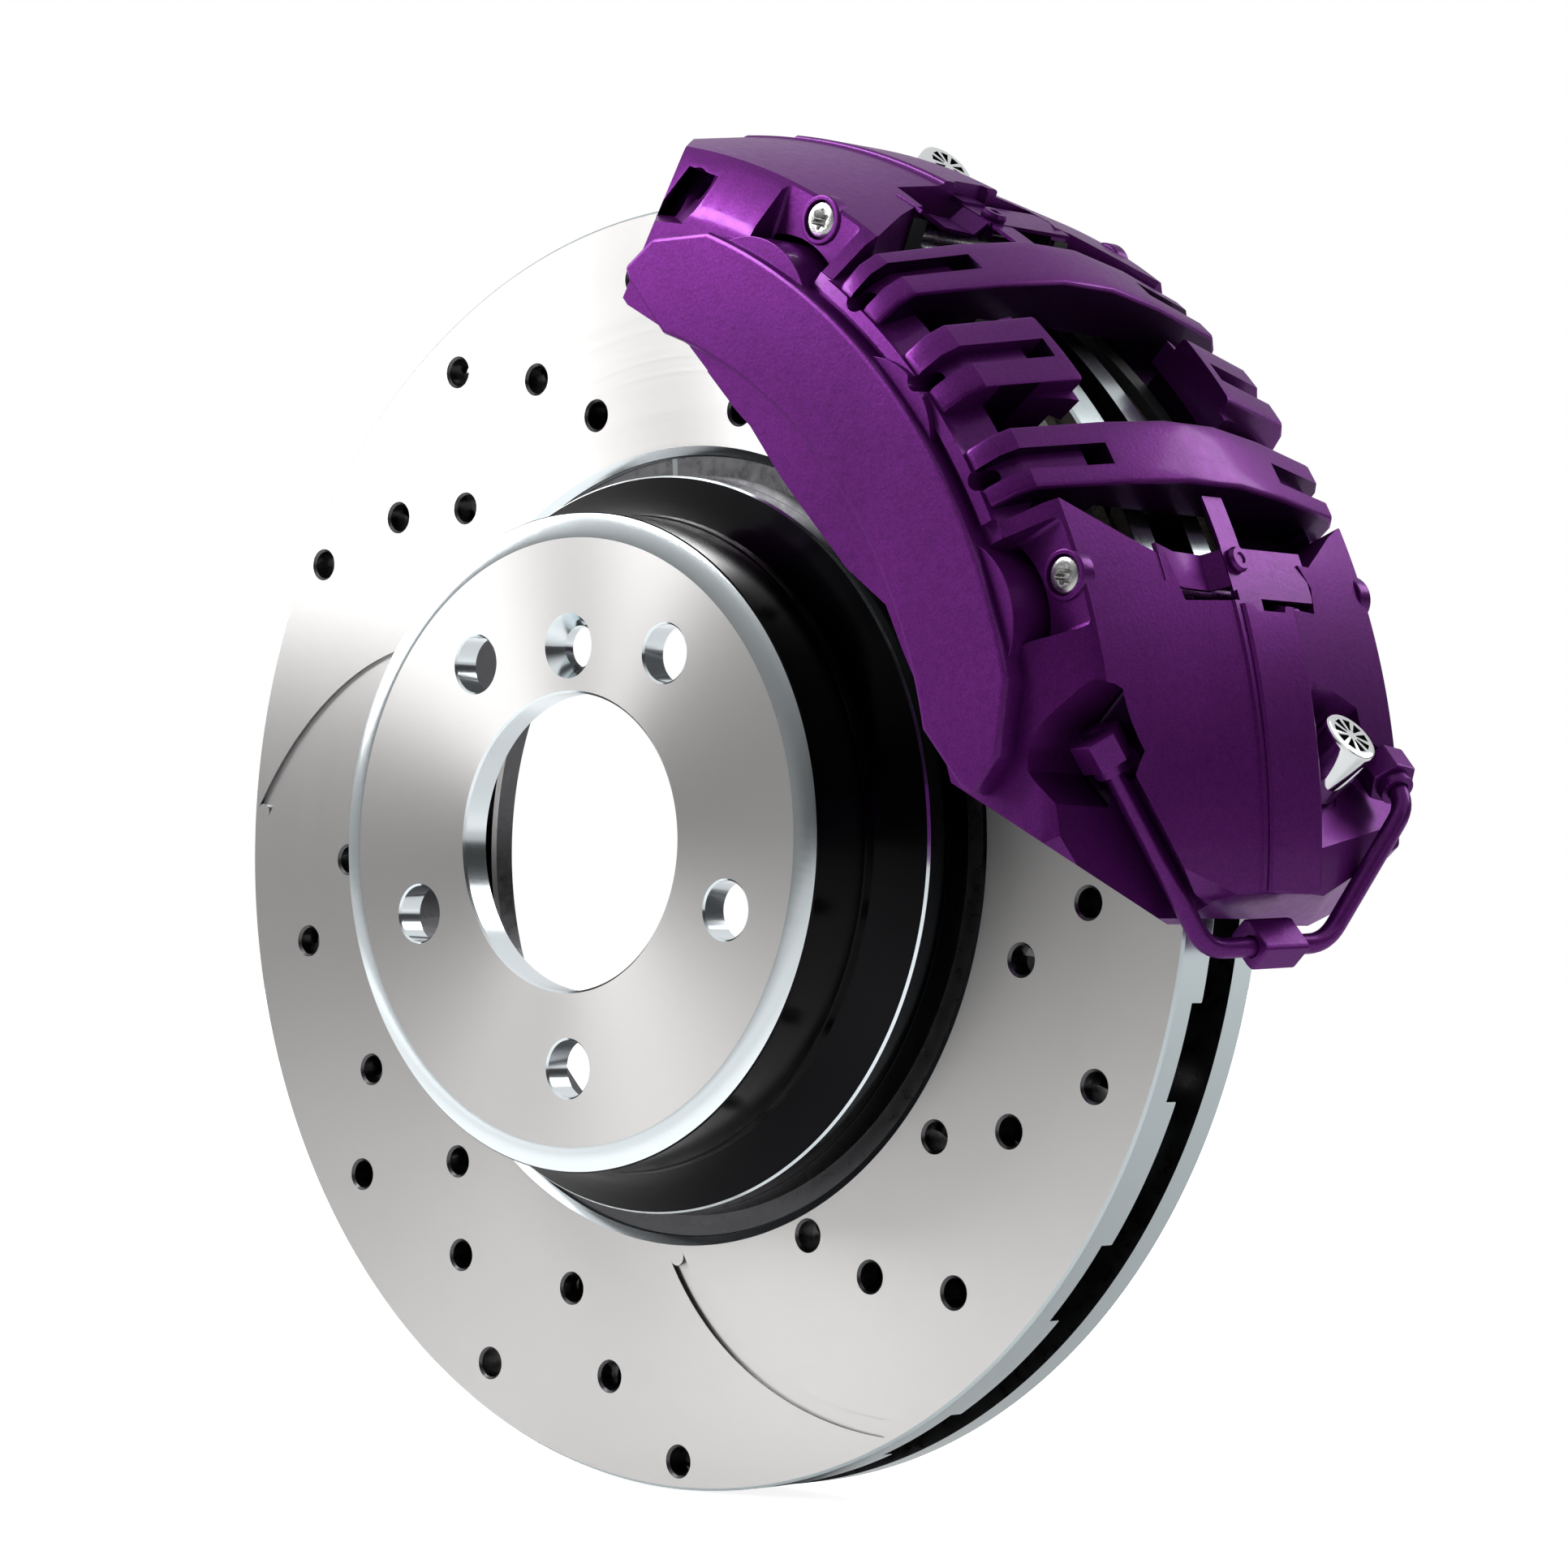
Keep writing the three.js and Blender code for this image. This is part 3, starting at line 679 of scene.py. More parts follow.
def land_outline(centre):
    """Thickened stretch of the outboard plate's rim, with round ends."""
    steps = 20
    half = 7
    outer = [row_polar(DISC_R, centre - half + 2 * half * i / steps) for i in range(steps + 1)]
    inner = [row_polar(LAND_INNER_R, centre + (half - 1.2) * (1 - 2 * i / steps)) for i in range(steps + 1)]
    return outer + inner


def slot_and_drill(body, plate):
    """Every fifth row is a slot in both friction faces; the other rows are chamfered holes."""
    holes = []
    for row in range(DRILL_ROWS):
        base = DRILL_START + row * 360 / DRILL_ROWS
        if row % SLOT_EVERY == 0:
            cut(body, slot_cutter(base, FACE_Y))
            cut(plate, slot_cutter(base, BACK_Y))
            continue
        for k in range(ROW_HOLES):
            r = 113.8 + 4.9 * (row % SLOT_EVERY - 1) + ROW_PITCH * k
            holes.append(row_polar(r, base + row_sweep(r)))
    mouth = DRILL_R + CHAMFER + 0.4
    outer = [
        (0, FACE_Y - 2), (mouth, FACE_Y - 0.4), (DRILL_R, FACE_Y + CHAMFER), (DRILL_R, OUTER_LAND_Y + 5),
        (0, OUTER_LAND_Y + 5),
    ]
    inner = [(0, -2), (mouth, -0.4), (DRILL_R, CHAMFER), (DRILL_R, 14), (0, 14)]
    for at in holes:
        cut(body, turned(outer, at, AXLE, 28, False))
        cut(plate, turned(inner, at + AXLE * BACK_Y, -AXLE, 28, False))


def bore_hat(body):
    """Chamfered bolt holes, and the countersunk hole of the locating screw."""
    mouth = BOLT_HOLE_R + 4.5
    bolt = [(0, -12), (mouth, HAT_Y - 4), (BOLT_HOLE_R, HAT_Y + 0.5), (BOLT_HOLE_R, 8), (0, 8)]
    for angle in BOLT_ANGLES:
        cut(body, turned(bolt, row_polar(BOLT_CIRCLE_R, angle), AXLE, 56, False))
    screw = [(0, -12), (13.5, -12), (8.6, HAT_Y + 0.1), (5.6, -3), (5.6, 8), (0, 8)]
    cut(body, turned(screw, row_polar(LOCATING_R, 90), AXLE, 48, False))


def vent_ribs(body):
    """Lands, long ribs and short ribs between the two plates."""
    low, high = OUTER_LAND_Y - 1, INNER_LAND_Y + 1
    ribs = []
    for i in range(VENT_PERIODS):
        centre = -VENT_PHASE + i * 360 / VENT_PERIODS
        land_piece = row_prism(land_outline(centre), OUTER_LAND_Y - 0.4, OUTER_LAND_Y + LAND_HEIGHT)
        ribs.append(softened(land_piece, 0.5, 2, 40))
        ribs.append(row_prism(vane_outline(centre, 5.6, 166, 104, 5), low, high))
        half_way = centre + 180 / VENT_PERIODS
        ribs.append(row_prism(vane_outline(half_way, 2.2, 160, 110, 4), low, high))
    for first in range(0, len(ribs), VENT_PERIODS):
        joined(body, *ribs[first:first + VENT_PERIODS])


def colour_disc(body):
    """Bare faces; painted shade as a darker metal on the rim and a near-black hat wall; dark casting inside
    the vents and the hat, which also paints shade on the walls of the holes and slots.
    """
    for material in (BRIGHT_METAL, HAT_WALL_SHADE, CASTING_AND_SHADE, RIM_SHADE_METAL):
        body.data.materials.append(material)
    face_slot, bright_slot, shade_slot, dark_slot, rim_slot = range(5)
    for polygon in body.data.polygons:
        centre, normal = polygon.center / MM, polygon.normal
        r = math.hypot(centre.x, centre.z)
        y = centre.y
        on_rim = r > DISC_R - 1.5
        on_land = on_rim and y < OUTER_LAND_Y + LAND_HEIGHT + 0.2
        if r > FLARE_R - 0.5 and OUTER_LAND_Y - 0.1 < y < INNER_LAND_Y + 0.1 and not on_land:
            polygon.material_index = dark_slot
        elif on_rim:
            # Rim: painted shade with the darker metal.
            polygon.material_index = rim_slot
        # Walls of the holes and slots: painted shade with the dark casting.
        elif r > 108.5 and abs(normal.y) < 0.9:
            polygon.material_index = dark_slot
        # Hat wall and flare: bright metal on the flare, painted shade in near-black elsewhere.
        elif HAT_R - 0.7 < r < 108.5 and HAT_Y + 1.8 < y < 38.5:
            bright = r > FLARE_R + 1.0 or (FLARE_R - 0.2 < r and y < 24.5)
            polygon.material_index = bright_slot if bright else shade_slot
        elif r < HAT_R and y < 1 and abs(normal.y) < 0.98:
            polygon.material_index = bright_slot
        elif r < HAT_INNER_R + 15 and y > 0.5:
            polygon.material_index = dark_slot
        else:
            polygon.material_index = face_slot


def disc():
    body = ring(hat_profile())
    plate = ring(inner_plate_profile())
    slot_and_drill(body, plate)
    bore_hat(body)
    vent_ribs(body)
    joined(body, plate)
    finish_mesh(body, 24)
    place(body, "ventilated_disc", "disc", "disc_iron", FACE_METAL, "brake_disc")
    colour_disc(body)


# ---------- caliper body ----------

def crown(half):
    """Closed outline of (r, y) from one half of (r, distance from the middle plane)."""
    return [(r, MID_Y + u) for r, u in half] + [(r, MID_Y - u) for r, u in reversed(half)]


def axial_outline():
    """Outline along the axle: scalloped underside, and the two ends."""
    trailing = ((123, 0), (125.1, 8), (131.8, 14.6), (132.4, 20), (138, 30))
    leading = ((136.9, -28), (128.5, -18), (127.5, -15), (123.3, -7))
    end = [(88, 112), (112, 112), (128.3, 117.6), (END_X, 136.9), (END_X, 200)]
    right = [(p.x, p.z) for p in (polar(*at) for at in trailing)] + end
    left = [(-x, z) for x, z in reversed(end)] + [(p.x, p.z) for p in (polar(*at) for at in leading)]
    return right + [(0, 205)] + left


def plan_outline():
    """Outline from above: the ends narrow towards the cover arcs, the leading end more."""
    trailing = [(END_X, 17), (121, 57), (101, PLATE_U + 3)]
    leading = [(-97, PLATE_U + 3), (-END_X, 27)]
    inboard = trailing + leading
    return [(x, MID_Y + u) for x, u in inboard] + [(x, MID_Y - u) for x, u in reversed(inboard)]


def arc_points(r, start, end):
    """Points of an arc about every 1.5 degrees, as (x, z)."""
    count = math.ceil(abs(end - start) / 1.5)
    points = [polar(r, start + (end - start) * i / count) for i in range(count + 1)]
    return [(p.x, p.z) for p in points]


def cover_outline():
    """Long arched cover with cut corners, over the three piston bores."""
    corner = [polar(r, a) for r, a in ((161, 34), (152, 37), (148.7, 36.1))]
    right = [(p.x, p.z) for p in corner]
    left = [(-x, z) for x, z in reversed(right)]
    return [*arc_points(167, -27.5, 27.5), *right, *arc_points(138.2, 29.7, -29.7), *left]


def side_y(u, sign):
    """Place along the axle at a distance from the middle plane, outboard or inboard."""
    return MID_Y + sign * u


def side_pair(u0, u1, sign):
    return sorted((side_y(u0, sign), side_y(u1, sign)))


def strap(start, end):
    """Raised band over the crown that turns down each side in flat facets."""
    return softened(sector(crown(STRAP_HALF), start, end), 1.3, 2, 35)


def slot_along(angle, sign):
    """L-shaped slot that runs down a strap's side, with a square well at its inner end and a round foot."""
    start, end = angle - 0.95, angle + 0.95
    path = [(171.2, 71), (172.0, 64.4), (177.0, 61.0), (180.0, 57.4), (185.4, 36.5), (200, 36.5), (200, 71)]
    channel = sector([(r, side_y(u, sign)) for r, u in path], start, end)
    well = block(178.5, 200, *side_pair(34.0, 39.0, sign), start, end)
    foot = rod(2.8, -4, 12, polar(172.6, angle, side_y(69, sign)), Vector((0, -sign, 0)), 24)
    return [channel, well, foot]


def central_window():
    """Opening between the two bridges, which leaves a flared fin standing on each side."""
    opening = block(170, 225, MID_Y - 56, MID_Y + 56, -BRIDGE[0], BRIDGE[0])
    outboard = [(-3.5, -30), (-3.5, 9), (-4.9, 15), (-4.9, 18.6), (4.4, 21.5), (3.3, 8), (3.3, -30)]
    inboard = [(-3.4, 130), (-3.4, 92), (-4.6, 81), (4.4, 81), (3.4, 92), (3.4, 130)]
    for outline in (outboard, inboard):
        opening = cut(opening, funnel(outline, 165, outline, 230))
    return opening


def clip_openings(side):
    """Pocket for the spring clip, and the deep gap with a sloped lip beside the bridge."""
    pocket = [
        (17.3, 22), (22.6, 25), (22.6, 47), (23.4, 48.5), (23.4, 60), (22.8, 61), (22.8, 78), (20.6, 80),
        (17.3, 72),
    ]
    gap_low = [(12.9, -4), (13.6, -6), (17.8, 20), (17.8, 82), (13.6, 108), (12.9, 106)]
    gap_high = [(12.9, -8), (14.0, -10), (19.2, 20), (19.2, 82), (14.0, 112), (12.9, 110)]
    pocket, gap_low, gap_high = [[(side * a, y) for a, y in shape] for shape in (pocket, gap_low, gap_high)]
    return [funnel(pocket, 168, pocket, 225), funnel(gap_low, 170, gap_high, 198)]


def piston_boss(angle, sign):
    """D-shaped boss over a piston bore; only its crest shows past the cover arc."""
    at = polar(BOSS_R, angle, MID_Y)
    boss = rod(BOSS_RADIUS, 50, 70.3, at, Vector((0, sign, 0)), 72)
    crest = block(157, 190, *side_pair(48, 72, sign), angle - 12, angle + 12)
    return softened(kept(boss, crest), 1.2, 2, 35)


def pin_seat(side, sign):
    """Flat round the pad pin's head, and the groove that parts it from the piston boss."""
    direction = Vector((0, sign, 0))
    boss_at = polar(BOSS_R, side * OUTER_PISTON_ANGLE, MID_Y)
    start, end = sorted((side * 15.6, side * 24.6))
    flat = softened(block(167, 196, *side_pair(PIN_FACE_U, 90, sign), start, end), 1.6, 2, 35)
    flat = cut(flat, rod(BOSS_RADIUS, 30, 95, boss_at, direction, 72))
    start, end = sorted((side * 15.8, side * 24.2))
    groove = rod(BOSS_RADIUS + 1.9, 49, 95, boss_at, direction, 72)
    groove = kept(groove, block(164, 182, *side_pair(45, 92, sign), start, end))
    groove = cut(groove, rod(BOSS_RADIUS, 30, 96, boss_at, direction, 72))
    return [flat, groove]


def pin_boss(side, sign):
    """Short collar round the head."""
    at = polar(PIN_R, side * PIN_ANGLE, MID_Y)
    return softened(rod(6.5, PIN_FACE_U - 4, PIN_FACE_U + 0.7, at, Vector((0, sign, 0)), 40), 0.6)


def end_recess():
    """Open pocket beside the leading piston housing; it leaves a thin rim at the end, and holds two pits."""
    y_low = MID_Y - 80
    low = [(-88.5, 159), (-88.5, 137.5), (-89.5, 133.5), (-90.2, 159)]
    high = [(-88.5, -15, 157.3), (-90, -15, 139.5), (-116.5, 9.5, 123), (-118.2, 10.5, 136)]
    recess = loft([Vector((x, y_low, z)) for x, z in low], [Vector(corner) for corner in high])
    upper_pit = rod(4.2, y_low, 0, Vector((-98, 0, 147)), AXLE, 28)
    lower_pit = rod(3.4, y_low, 6, Vector((-105, 0, 134)), AXLE, 28)
    return [recess, upper_pit, lower_pit]


def cap_pocket(side):
    """Open faceted pocket that the bleeder cap stands in."""
    outline = [(92.3, 70.5), (97, 66.8), (140, 64), (140, 120), (102.8, 120), (102.8, 92.6), (94, 90.5)]
    low = [Vector((side * x, y, BLEEDER_FLOOR + 0.4)) for x, y in outline]
    grown = [(x - 3, y - 3) if y < 80 else (x, y) for x, y in outline]
    high = [Vector((side * x, y, 200)) for x, y in grown]
    return loft(low, high)


def end_strip(side):
    """Low raised strip over the crown near the middle plane, from the clip's pocket to the end."""
    start, end = sorted((side * 22.9, side * (44.3 if side > 0 else 39.5)))
    section = [
        (186, 42.6), (STRIP_R - 0.5, 43.2), (STRIP_R, 44.2), (STRIP_R, 63.8), (STRIP_R - 0.5, 64.8),
        (186, 65.4),
    ]
    return sector(section, start, end)


def side_parts():
    """Everything that is joined onto the plain housing."""
    parts = [strap(*sorted((side * BRIDGE[0], side * BRIDGE[1]))) for side in (-1, 1)]
    parts.append(strap(*FIN))
    for _, sign in SIDES:
        parts.append(softened(axial(cover_outline(), *side_pair(64, PLATE_U, sign)), 1.5, 2, 30))
        ledge = [(r, side_y(u, sign)) for r, u in ((168.8, 60), (172.0, 60), (171.8, 67.9), (168.8, 68.5))]
        parts.append(sector(ledge, -14, 14))
        parts += [piston_boss(angle, sign) for angle, _, _ in PISTONS]
    for side in (-1, 1):
        parts.append(softened(rod(13, *EAR_FACES, Vector((side * EAR_X, 0, EAR_Z)), AXLE, 56), 0.8))
        web = [(side * x, z) for x, z in ((84, 108), (110, 108), (112, 121), (80, 121))]
        parts.append(softened(axial(web, *EAR_FACES), 0.8))
        parts.append(end_strip(side))
    parts.append(softened(rod(9, *HOSE_FACES, polar(HOSE_R, HOSE_ANGLE), AXLE, 48), 0.8))
    return parts


def bores():
    """Piston bores, pin holes, bleeder seats, ear holes and the hose port."""
    tools = []
    for _, sign in SIDES:
        for angle, r, bore in PISTONS:
            wall = bore + 0.4
            boot, seal = wall + 2.8, wall + 2.6
            profile = [
                (0, 30), (boot, 30), (boot, 37.2), (wall, 37.2), (wall, 46.6), (seal, 46.6), (seal, 50.2),
                (wall, 50.2), (wall, 60.5), (0, 60.5),
            ]
            tools.append(turned(profile, polar(r, angle, MID_Y), Vector((0, sign, 0)), 56))
    for side in (-1, 1):
        hole = [(0, -20), (5.2, -20), (5.2, -4.4), (4.2, -4.4), (4.2, 106), (0, 106)]
        tools.append(turned(hole, polar(PIN_R, side * PIN_ANGLE), AXLE, 40))
        floor = BLEEDER_FLOOR
        seat = [(0, 131.5), (4.4, 131.5), (4.4, floor), (9.4, floor), (9.4, 200), (0, 200)]
        tools.append(turned(seat, Vector((side * BLEEDER_X, BLEEDER_Y, 0)), OUT, 40))
        tools.append(rod(6.6, 80, 120, Vector((side * EAR_X, 0, EAR_Z)), AXLE, 40))
    tools.append(rod(4.3, 114, 140, polar(HOSE_R, HOSE_ANGLE), AXLE, 32))
    return tools


def caliper_body():
    """Lower crown in the middle and higher housings at the ends, trimmed, then dressed and cut."""
    low_half = [(116, 66.6), (168, 66.6), (171.6, 65.9), (176.4, 56), (185, 32), (189, 10)]
    high_half = [
        (116, 66), (168, 66.4), (172, 65.4), (182.6, 60.2), (185.4, 57.6), (CROWN_R - 0.6, 10.4),
        (CROWN_R, 9.6),
    ]
    body = sector(crown(low_half), -MIDDLE_ANGLE, MIDDLE_ANGLE, 1.0)
    for side in (-1, 1):
        start, end = sorted(side * angle for angle in HOUSING_ANGLES)
        body = joined(body, sector(crown(high_half), start, end, 1.0))
    plan = prism(plan_outline(), Vector(), OUT, 0, 250, axes=(ALONG, AXLE, OUT))
    body = kept(body, axial(axial_outline(), -40, 140), plan)
    body = cut(body, *corner_chamfers())
    seats = [tool for side in (-1, 1) for _, sign in SIDES for tool in pin_seat(side, sign)]
    body = cut(body, *seats)
    body = joined(body, *side_parts(), *[pin_boss(side, sign) for side in (-1, 1) for _, sign in SIDES])
    tools = [
        block(90, GAP_R, MID_Y - DISC_GAP, MID_Y + DISC_GAP, -GAP_ANGLE, GAP_ANGLE),
        block(90, POCKET_R, MID_Y - POCKET_HALF, MID_Y + POCKET_HALF, -POCKET_ANGLE, POCKET_ANGLE),
        central_window(),
        *clip_openings(-1),
        *clip_openings(1),
        cap_pocket(-1),
        cap_pocket(1),
        *end_recess(),
        *port_pockets(),
        *bores(),
    ]
    for _, sign in SIDES:
        for angle in SLOT_ANGLES:
            tools += slot_along(angle, sign)
    body = cut(body, *tools)
    body.data.validate()
    finish_mesh(body, 26, 0.45)
    place(body, "caliper_casting", "caliper", "caliper_paint", PAINT, "caliper_body")
    paint_shade_in_recesses(body)


def half_space(a, b, c, away):
    """Large block whose near face passes through three points, lying on the side of the point away."""
    normal = (b - a).cross(c - a).normalized()
    if normal.dot(away - a) < 0:
        normal = -normal
    return prism([(-150, -150), (150, -150), (150, 150), (-150, 150)], a, normal, 0, 200)


def corner_chamfers():
    """Slanted planes that take the lower outboard corner off each end."""
    trailing = half_space(
        Vector((95.2, -16, 121.0)), Vector((152.6, -16, 144.5)), Vector((80.3, 10, 105.0)),
        Vector((110, -40, 90)),
    )
    leading = half_space(
        Vector((-101.2, -14.3, 141.0)), Vector((-95.5, -14.3, 124.0)), Vector((-117.7, 6.7, 128.5)),
        Vector((-140, -40, 130)),
    )
    return [trailing, leading]


def strap_r(u):
    """Radius of a strap's outer surface at a distance from the middle plane."""
    for (r1, u1), (r0, u0) in zip(STRAP_HALF, STRAP_HALF[1:]):
        if u0 <= u <= u1:
            return r0 + (r1 - r0) * (u - u0) / (u1 - u0)
    return 0


def paint_shade_in_recesses(body):
    """Paints shade into the slots' wells, the inside and underside of the body and the nut pocket's floor
    with a darker copy of the paint.
    """
    body.data.materials.append(SHADE_PAINT)
    into_local = TO_ROW.inverted()
    for polygon in body.data.polygons:
        p = into_local @ polygon.center / MM
        r, angle, u = math.hypot(p.x, p.z), math.degrees(math.atan2(p.x, p.z)), abs(p.y - MID_Y)
        in_slot = any(abs(angle - at) < 1.1 for at in SLOT_ANGLES)
        in_well = in_slot and 33 < u < 39.5 and 177 < r < strap_r(u) - 1
        inside = u < 55 and abs(angle) < 17 and r < POCKET_R - 2
        under = u < 56 and r < POCKET_R and abs(angle) < 31
        in_port = (p - PORT_OUT).length < 34 and 4 < p.y < 7
        # Faces in these hollows take the darker paint as painted shade.
        if in_well or inside or under or in_port:
            polygon.material_index = 1


def port_pockets():
    """D-shaped pocket round the outer union nut with a sloped channel for the pipe; round one inboard."""
    outline = [
        (90.7, 138.5), (88.6, 145.5), (87.8, 156), (87.6, 161), (90.5, 162.6), (105, 154.5), (114.5, 146.5),
        (118.5, 143), (114.5, 138.5), (108.4, 136), (95, 134.8),
    ]
    pocket = softened(axial(outline, -60, 6), 1.5, 2, 30)
    across = AXLE.cross(PIPE_LEAVES).normalized()
    section = [(4.6, 4.8), (-4.4, 4.8), (-5.2, 0), (-26, -23), (-60, -70), (6.0, -70), (5.0, -8)]
    channel = prism(section, PORT_OUT, PIPE_LEAVES, 11, 75, axes=(across, AXLE, PIPE_LEAVES))
    rest = rod(7.4, -0.3, 16, PORT_OUT, PIPE_LEAVES, 40)
    inner = rod(8.6, -0.3, 40, PORT_IN, PIPE_ENTERS, 40)
    return [pocket, channel, rest, inner]


# ---------- pipe, nuts and clip ----------

def rounded_route(points, radius, steps=8):
    """Straight runs joined by rounded corners."""
    route = [points[0]]
    for before, corner, after in zip(points, points[1:], points[2:]):
        start = corner + (before - corner).normalized() * radius
        end = corner + (after - corner).normalized() * radius
        for i in range(steps + 1):
            t = i / steps
            route.append(start * (1 - t) ** 2 + corner * 2 * t * (1 - t) + end * t * t)
    route.append(points[-1])
    return route


def tube(route, radius, segments=24):
    """Round tube along a route, its section carried without twist, closed at both ends."""
    vertices = []
    previous = None
    for i, p in enumerate(route):
        ahead = (route[min(i + 1, len(route) - 1)] - route[max(i - 1, 0)]).normalized()
        if previous is None:
            across = basis(ahead)[0]
        else:
            across = (previous - ahead * previous.dot(ahead)).normalized()
        previous = across
        up = ahead.cross(across)
        for k in range(segments):
            t = 2 * math.pi * k / segments
            vertices.append(p + across * (radius * math.cos(t)) + up * (radius * math.sin(t)))
    faces = []
    for i in range(len(route) - 1):
        for k in range(segments):
            n = (k + 1) % segments
            faces.append((i * segments + k, i * segments + n, (i + 1) * segments + n, (i + 1) * segments + k))
    last = (len(route) - 1) * segments
    faces += [tuple(range(segments)), tuple(range(last, last + segments))]
    return new_object("tube", vertices, faces)


def pipework():
    """Crossover pipe from port to port, its two union nuts, and the band that holds its middle."""
    route = [PORT_OUT + PIPE_LEAVES, *PIPE_CORNERS, PORT_IN + PIPE_ENTERS]
    pipe = tube(rounded_route(route, PIPE_BEND_R), PIPE_R)
    place(finish_mesh(pipe, 40), "brake_pipe", "caliper", "pipe_paint", PAINT, "crossover_pipe")
    corner = NUT_ACROSS / math.sqrt(3)
    sixths = [math.radians(60 * k) for k in range(6)]
    hexagon = [(corner * math.cos(t), corner * math.sin(t)) for t in sixths]
    for name, at, direction in (("outer", PORT_OUT, PIPE_LEAVES), ("inner", PORT_IN, PIPE_ENTERS)):
        nut = softened(prism(hexagon, at, direction, 0.2, 8.2), 0.5)
        neck = softened(rod(4.6, 6, 11, at, direction, 32), 0.5)
        nut = cut(joined(nut, neck), rod(PIPE_R + 0.3, -5, 20, at, direction, 32))
        place(finish_mesh(nut, 30), f"pipe_nut_{name}", "caliper", "pipe_paint", PAINT, f"union_nut_{name}")
    middle = PIPE_CORNERS[0].lerp(PIPE_CORNERS[1], 0.55)
    run = (PIPE_CORNERS[1] - PIPE_CORNERS[0]).normalized()
    band = [(-4.4, -4), (-4.4, 4), (-2.6, 4.4), (5, 4.4), (6.5, 3), (6.5, -3), (5, -4.4), (-2.6, -4.4)]
    axes = (-ALONG, run.cross(-ALONG).normalized(), run)
    holder = softened(prism(band, middle, run, -7.5, 7.5, axes=axes), 0.6)
    holder = cut(holder, tube([middle - run * 20, middle + run * 20], PIPE_R + 0.3))
    place(finish_mesh(holder, 30), "pipe_band", "caliper", "pipe_paint", PAINT, "pipe_clip")


# ---------- pins, clips and bleeders ----------

def star(radius, depth):
    """Six-lobed driver recess outline."""
    lobes = 6
    count = lobes * 12
    outline = []
    for i in range(count):
        t = 2 * math.pi * i / count
        r = radius * (1 - depth * (0.5 - 0.5 * math.cos(lobes * t)))
        outline.append((r * math.cos(t), r * math.sin(t)))
    return outline


def pad_pins():
    """Pins that carry the pads, with a chamfered head and a driver recess."""
    shank = [
        (0, -7.5), (3.5, -7.9), (4.3, -7.6), (4.7, -7.1), (4.7, -4.7), (3.8, -4.7), (3.8, 104.5), (0, 105.3),
    ]
    for name, side in ENDS:
        at = polar(PIN_R, side * PIN_ANGLE)
        pin = cut(turned(shank, at, AXLE, 48), prism(star(2.9, 0.32), at, AXLE, -9, -5.2))
        place(finish_mesh(pin, 30), f"torx_pin_{name}", "caliper", "pin_steel", PIN_STEEL, f"pad_pin_{name}")


def spring_clip(side):
    """Formed sheet clip: flush wing, folded leg, tongue up under the bridge, bottom tab and roll."""
    def strip(profile, start, end):
        section = [(CLIP_R + rise, y) for rise, y in profile]
        return sector(section, *sorted((start * side, end * side)), 1)

    wing = strip([(-1, 46.5), (0, 46.5), (0, 79), (-1, 79)], 17.8, 21.9)
    fold = [(0, 20), (-3.6, 31.3), (-4.2, 43), (0, 46.8), (-1, 47.4), (-5.2, 43.6), (-4.6, 30.9), (-1, 19.6)]
    leg = strip(fold, 18.0, 21.0)
    tongue = strip([(-1.2, 47), (-0.2, 47), (-0.2, 55), (-1.2, 55)], 13.4, 18)
    tab = strip([(-0.6, 47), (0.8, 47), (0.8, 56), (-0.6, 56)], 21.4, 23.1)
    roll = softened(rod(2.2, 66, 74, polar(CLIP_R - 3, 22.6 * side), AXLE, 20), 0.5)
    return joined(wing, leg, tongue, tab, roll)


def spring_clips():
    """The two clips over the pad pins, each with its domed rivet."""
    t = CLIP_R
    head = [
        (0, 185), (1.7, 185), (1.7, t + 0.2), (3.4, t + 0.2), (3.5, t + 1), (2.9, t + 2), (1.6, t + 2),
        (1.4, t + 1.5), (0, t + 1.5),
    ]
    axle_at = Vector((0, MID_Y, 0))
    for name, side in ENDS:
        out = polar(1, CLIP_ANGLE * side)
        clip = cut(spring_clip(side), rod(2.1, 180, 195, axle_at, out, 20))
        softened(clip, 0.25, 2, 35)
        clip = finish_mesh(clip, 30)
        place(clip, f"pad_spring_{name}", "caliper", "clip_paint", PAINT, f"spring_clip_{name}")
        rivet = finish_mesh(turned(head, axle_at, out, 32), 35)
        place(rivet, f"spring_rivet_{name}", "caliper", "clip_paint", PAINT, f"clip_rivet_{name}")


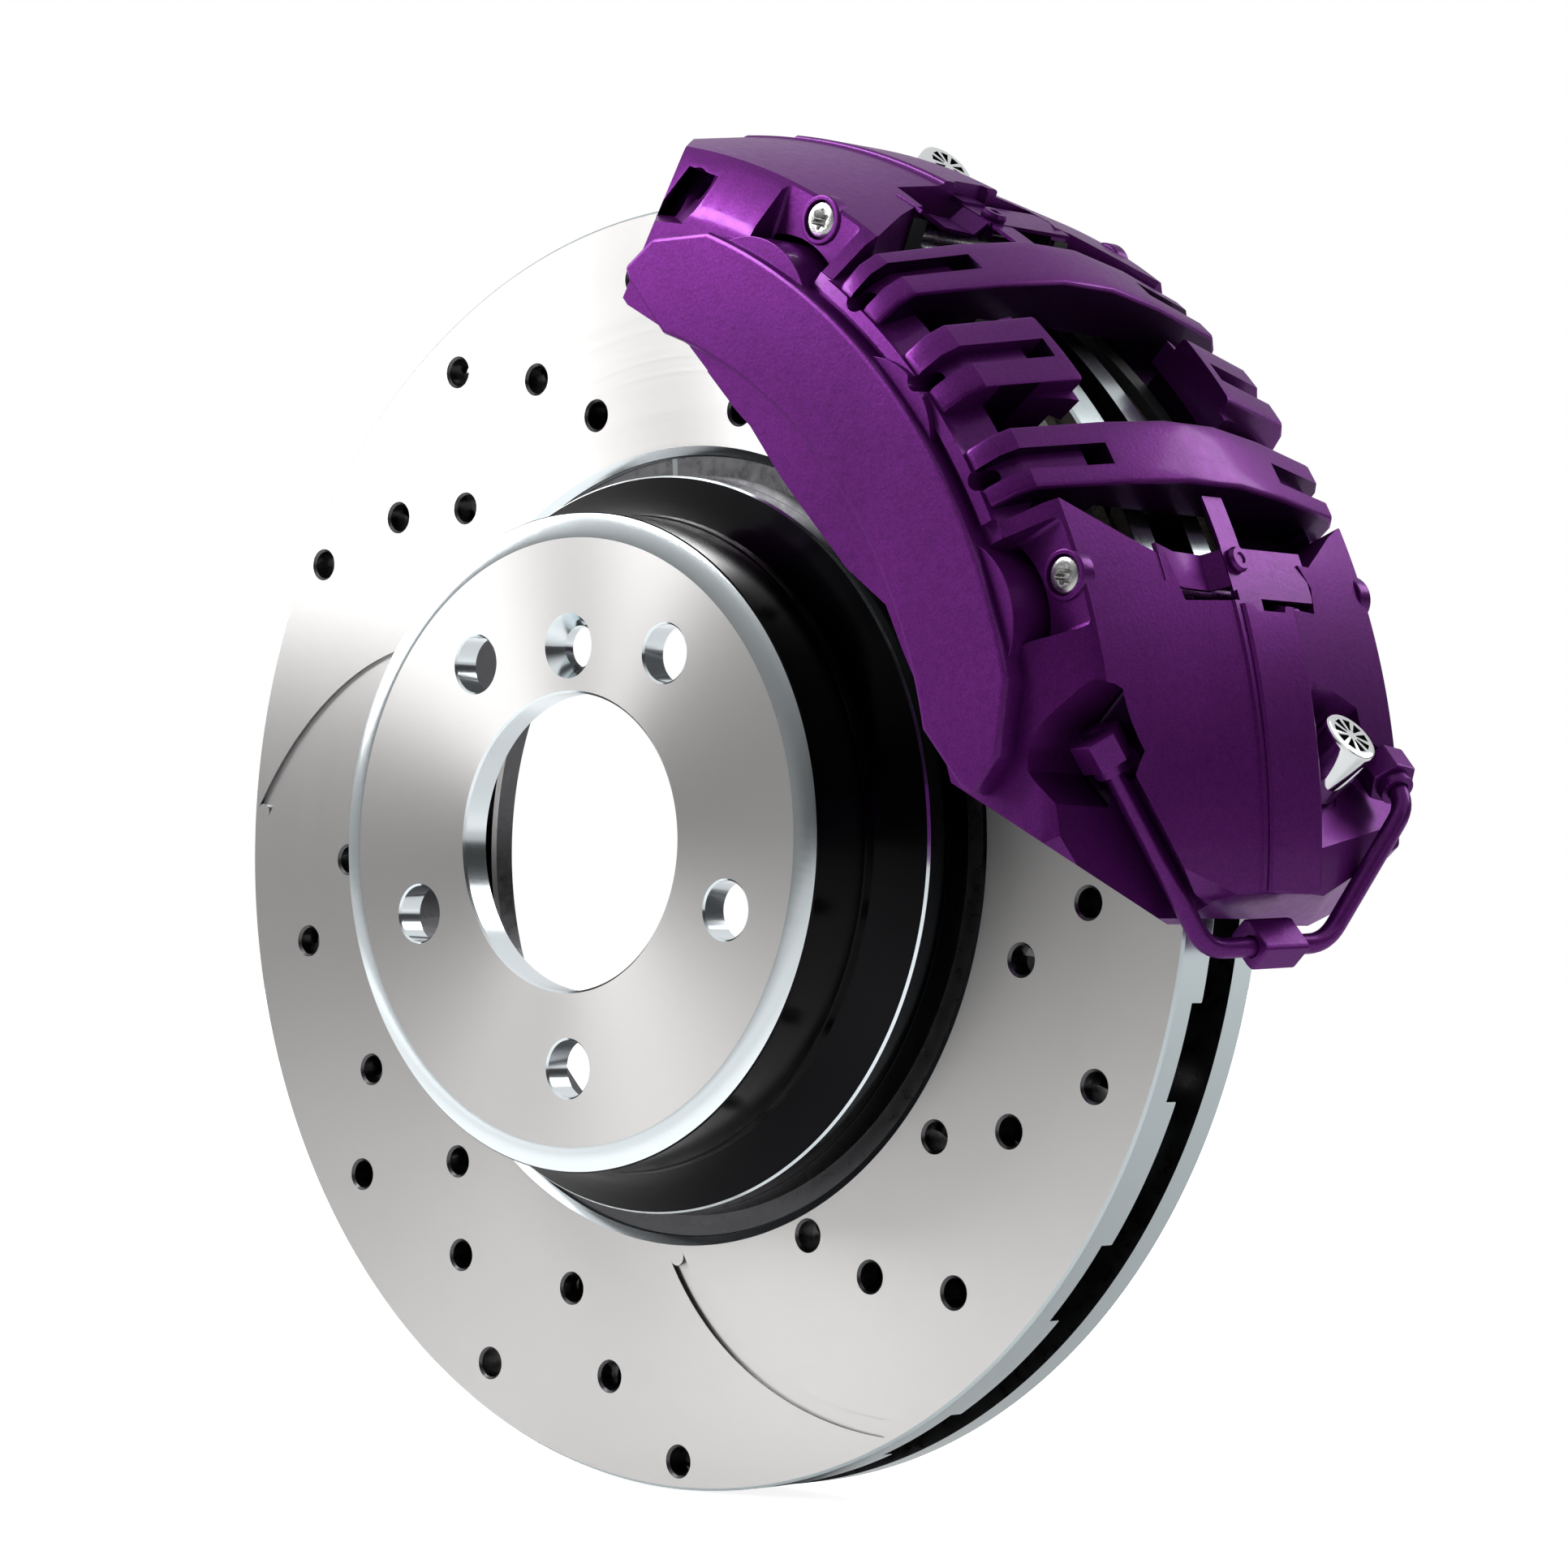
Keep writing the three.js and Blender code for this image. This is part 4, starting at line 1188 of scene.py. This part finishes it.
def bleeder_cap(at):
    """Hollow cap with a ring of wedge-shaped slots in its top."""
    top = BLEEDER_FLOOR + CAP_HEIGHT
    profile = [
        (7.7, top - 17.8), (8, top - 17.4), (8, top - 1.2), (7.6, top - 0.4), (6.8, top), (0, top),
        (0, top - 3.8), (5.8, top - 3.8), (5.8, top - 17.8),
    ]
    wedge = [(1.6, -0.2), (5.4, -1.25), (5.4, 1.25), (1.6, 0.2)]
    wedges = []
    for k in range(CAP_SLOTS):
        turn = 2 * math.pi * k / CAP_SLOTS
        spoke = Vector((math.cos(turn), math.sin(turn), 0))
        axes = (spoke, OUT.cross(spoke), OUT)
        wedges.append(prism(wedge, at, OUT, top - 1.2, top + 3.2, axes=axes))
    return cut(turned(profile, at, OUT, 64), *wedges)


def blacken_cap(shell, at):
    """Black floors and walls of a cap's slots, and its inside."""
    top = BLEEDER_FLOOR + CAP_HEIGHT
    into_local = TO_ROW.inverted()
    shell.data.materials.append(CAP_BLACK)
    for polygon in shell.data.polygons:
        centre = into_local @ polygon.center / MM
        normal = into_local.to_3x3() @ polygon.normal
        in_slot = top - 1.6 < centre.z < top - 0.05 and math.hypot(centre.x - at.x, centre.y - at.y) < 5.6
        ceiling = normal.z < -0.5 and centre.z > top - 4.8
        if in_slot or ceiling:
            polygon.material_index = 1


def bleeder_caps():
    for name, side in ENDS:
        at = Vector((side * BLEEDER_X, BLEEDER_Y, 0))
        shell = finish_mesh(bleeder_cap(at), 30)
        body = f"{name}_bleeder_cap"
        place(shell, f"chrome_cap_{name}", body, "cap_chrome", CHROME, f"bleeder_cap_{name}")
        blacken_cap(shell, at)


# ---------- carried-over nodes ----------

def dress_frame():
    """Gives the CAD nodes that stay their own finish."""
    finishes = (
        ("piston_seal", RUBBER), ("dust_boot", RUBBER), ("piston_", ALLOY), ("pad_backing", BACKING),
        ("pad_lining", LINING), ("pad_shim", SHEET_STEEL_SHADED), ("abutment_plate", SHEET_STEEL_SHADED),
        ("bleeder_screw", PIN_STEEL),
    )
    for name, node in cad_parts.items():
        for prefix, material in finishes:
            if name.startswith(prefix):
                for slot in node.material_slots:
                    slot.material = material
                break


studio()
disc()
caliper_body()
pipework()
pad_pins()
spring_clips()
bleeder_caps()
dress_frame()
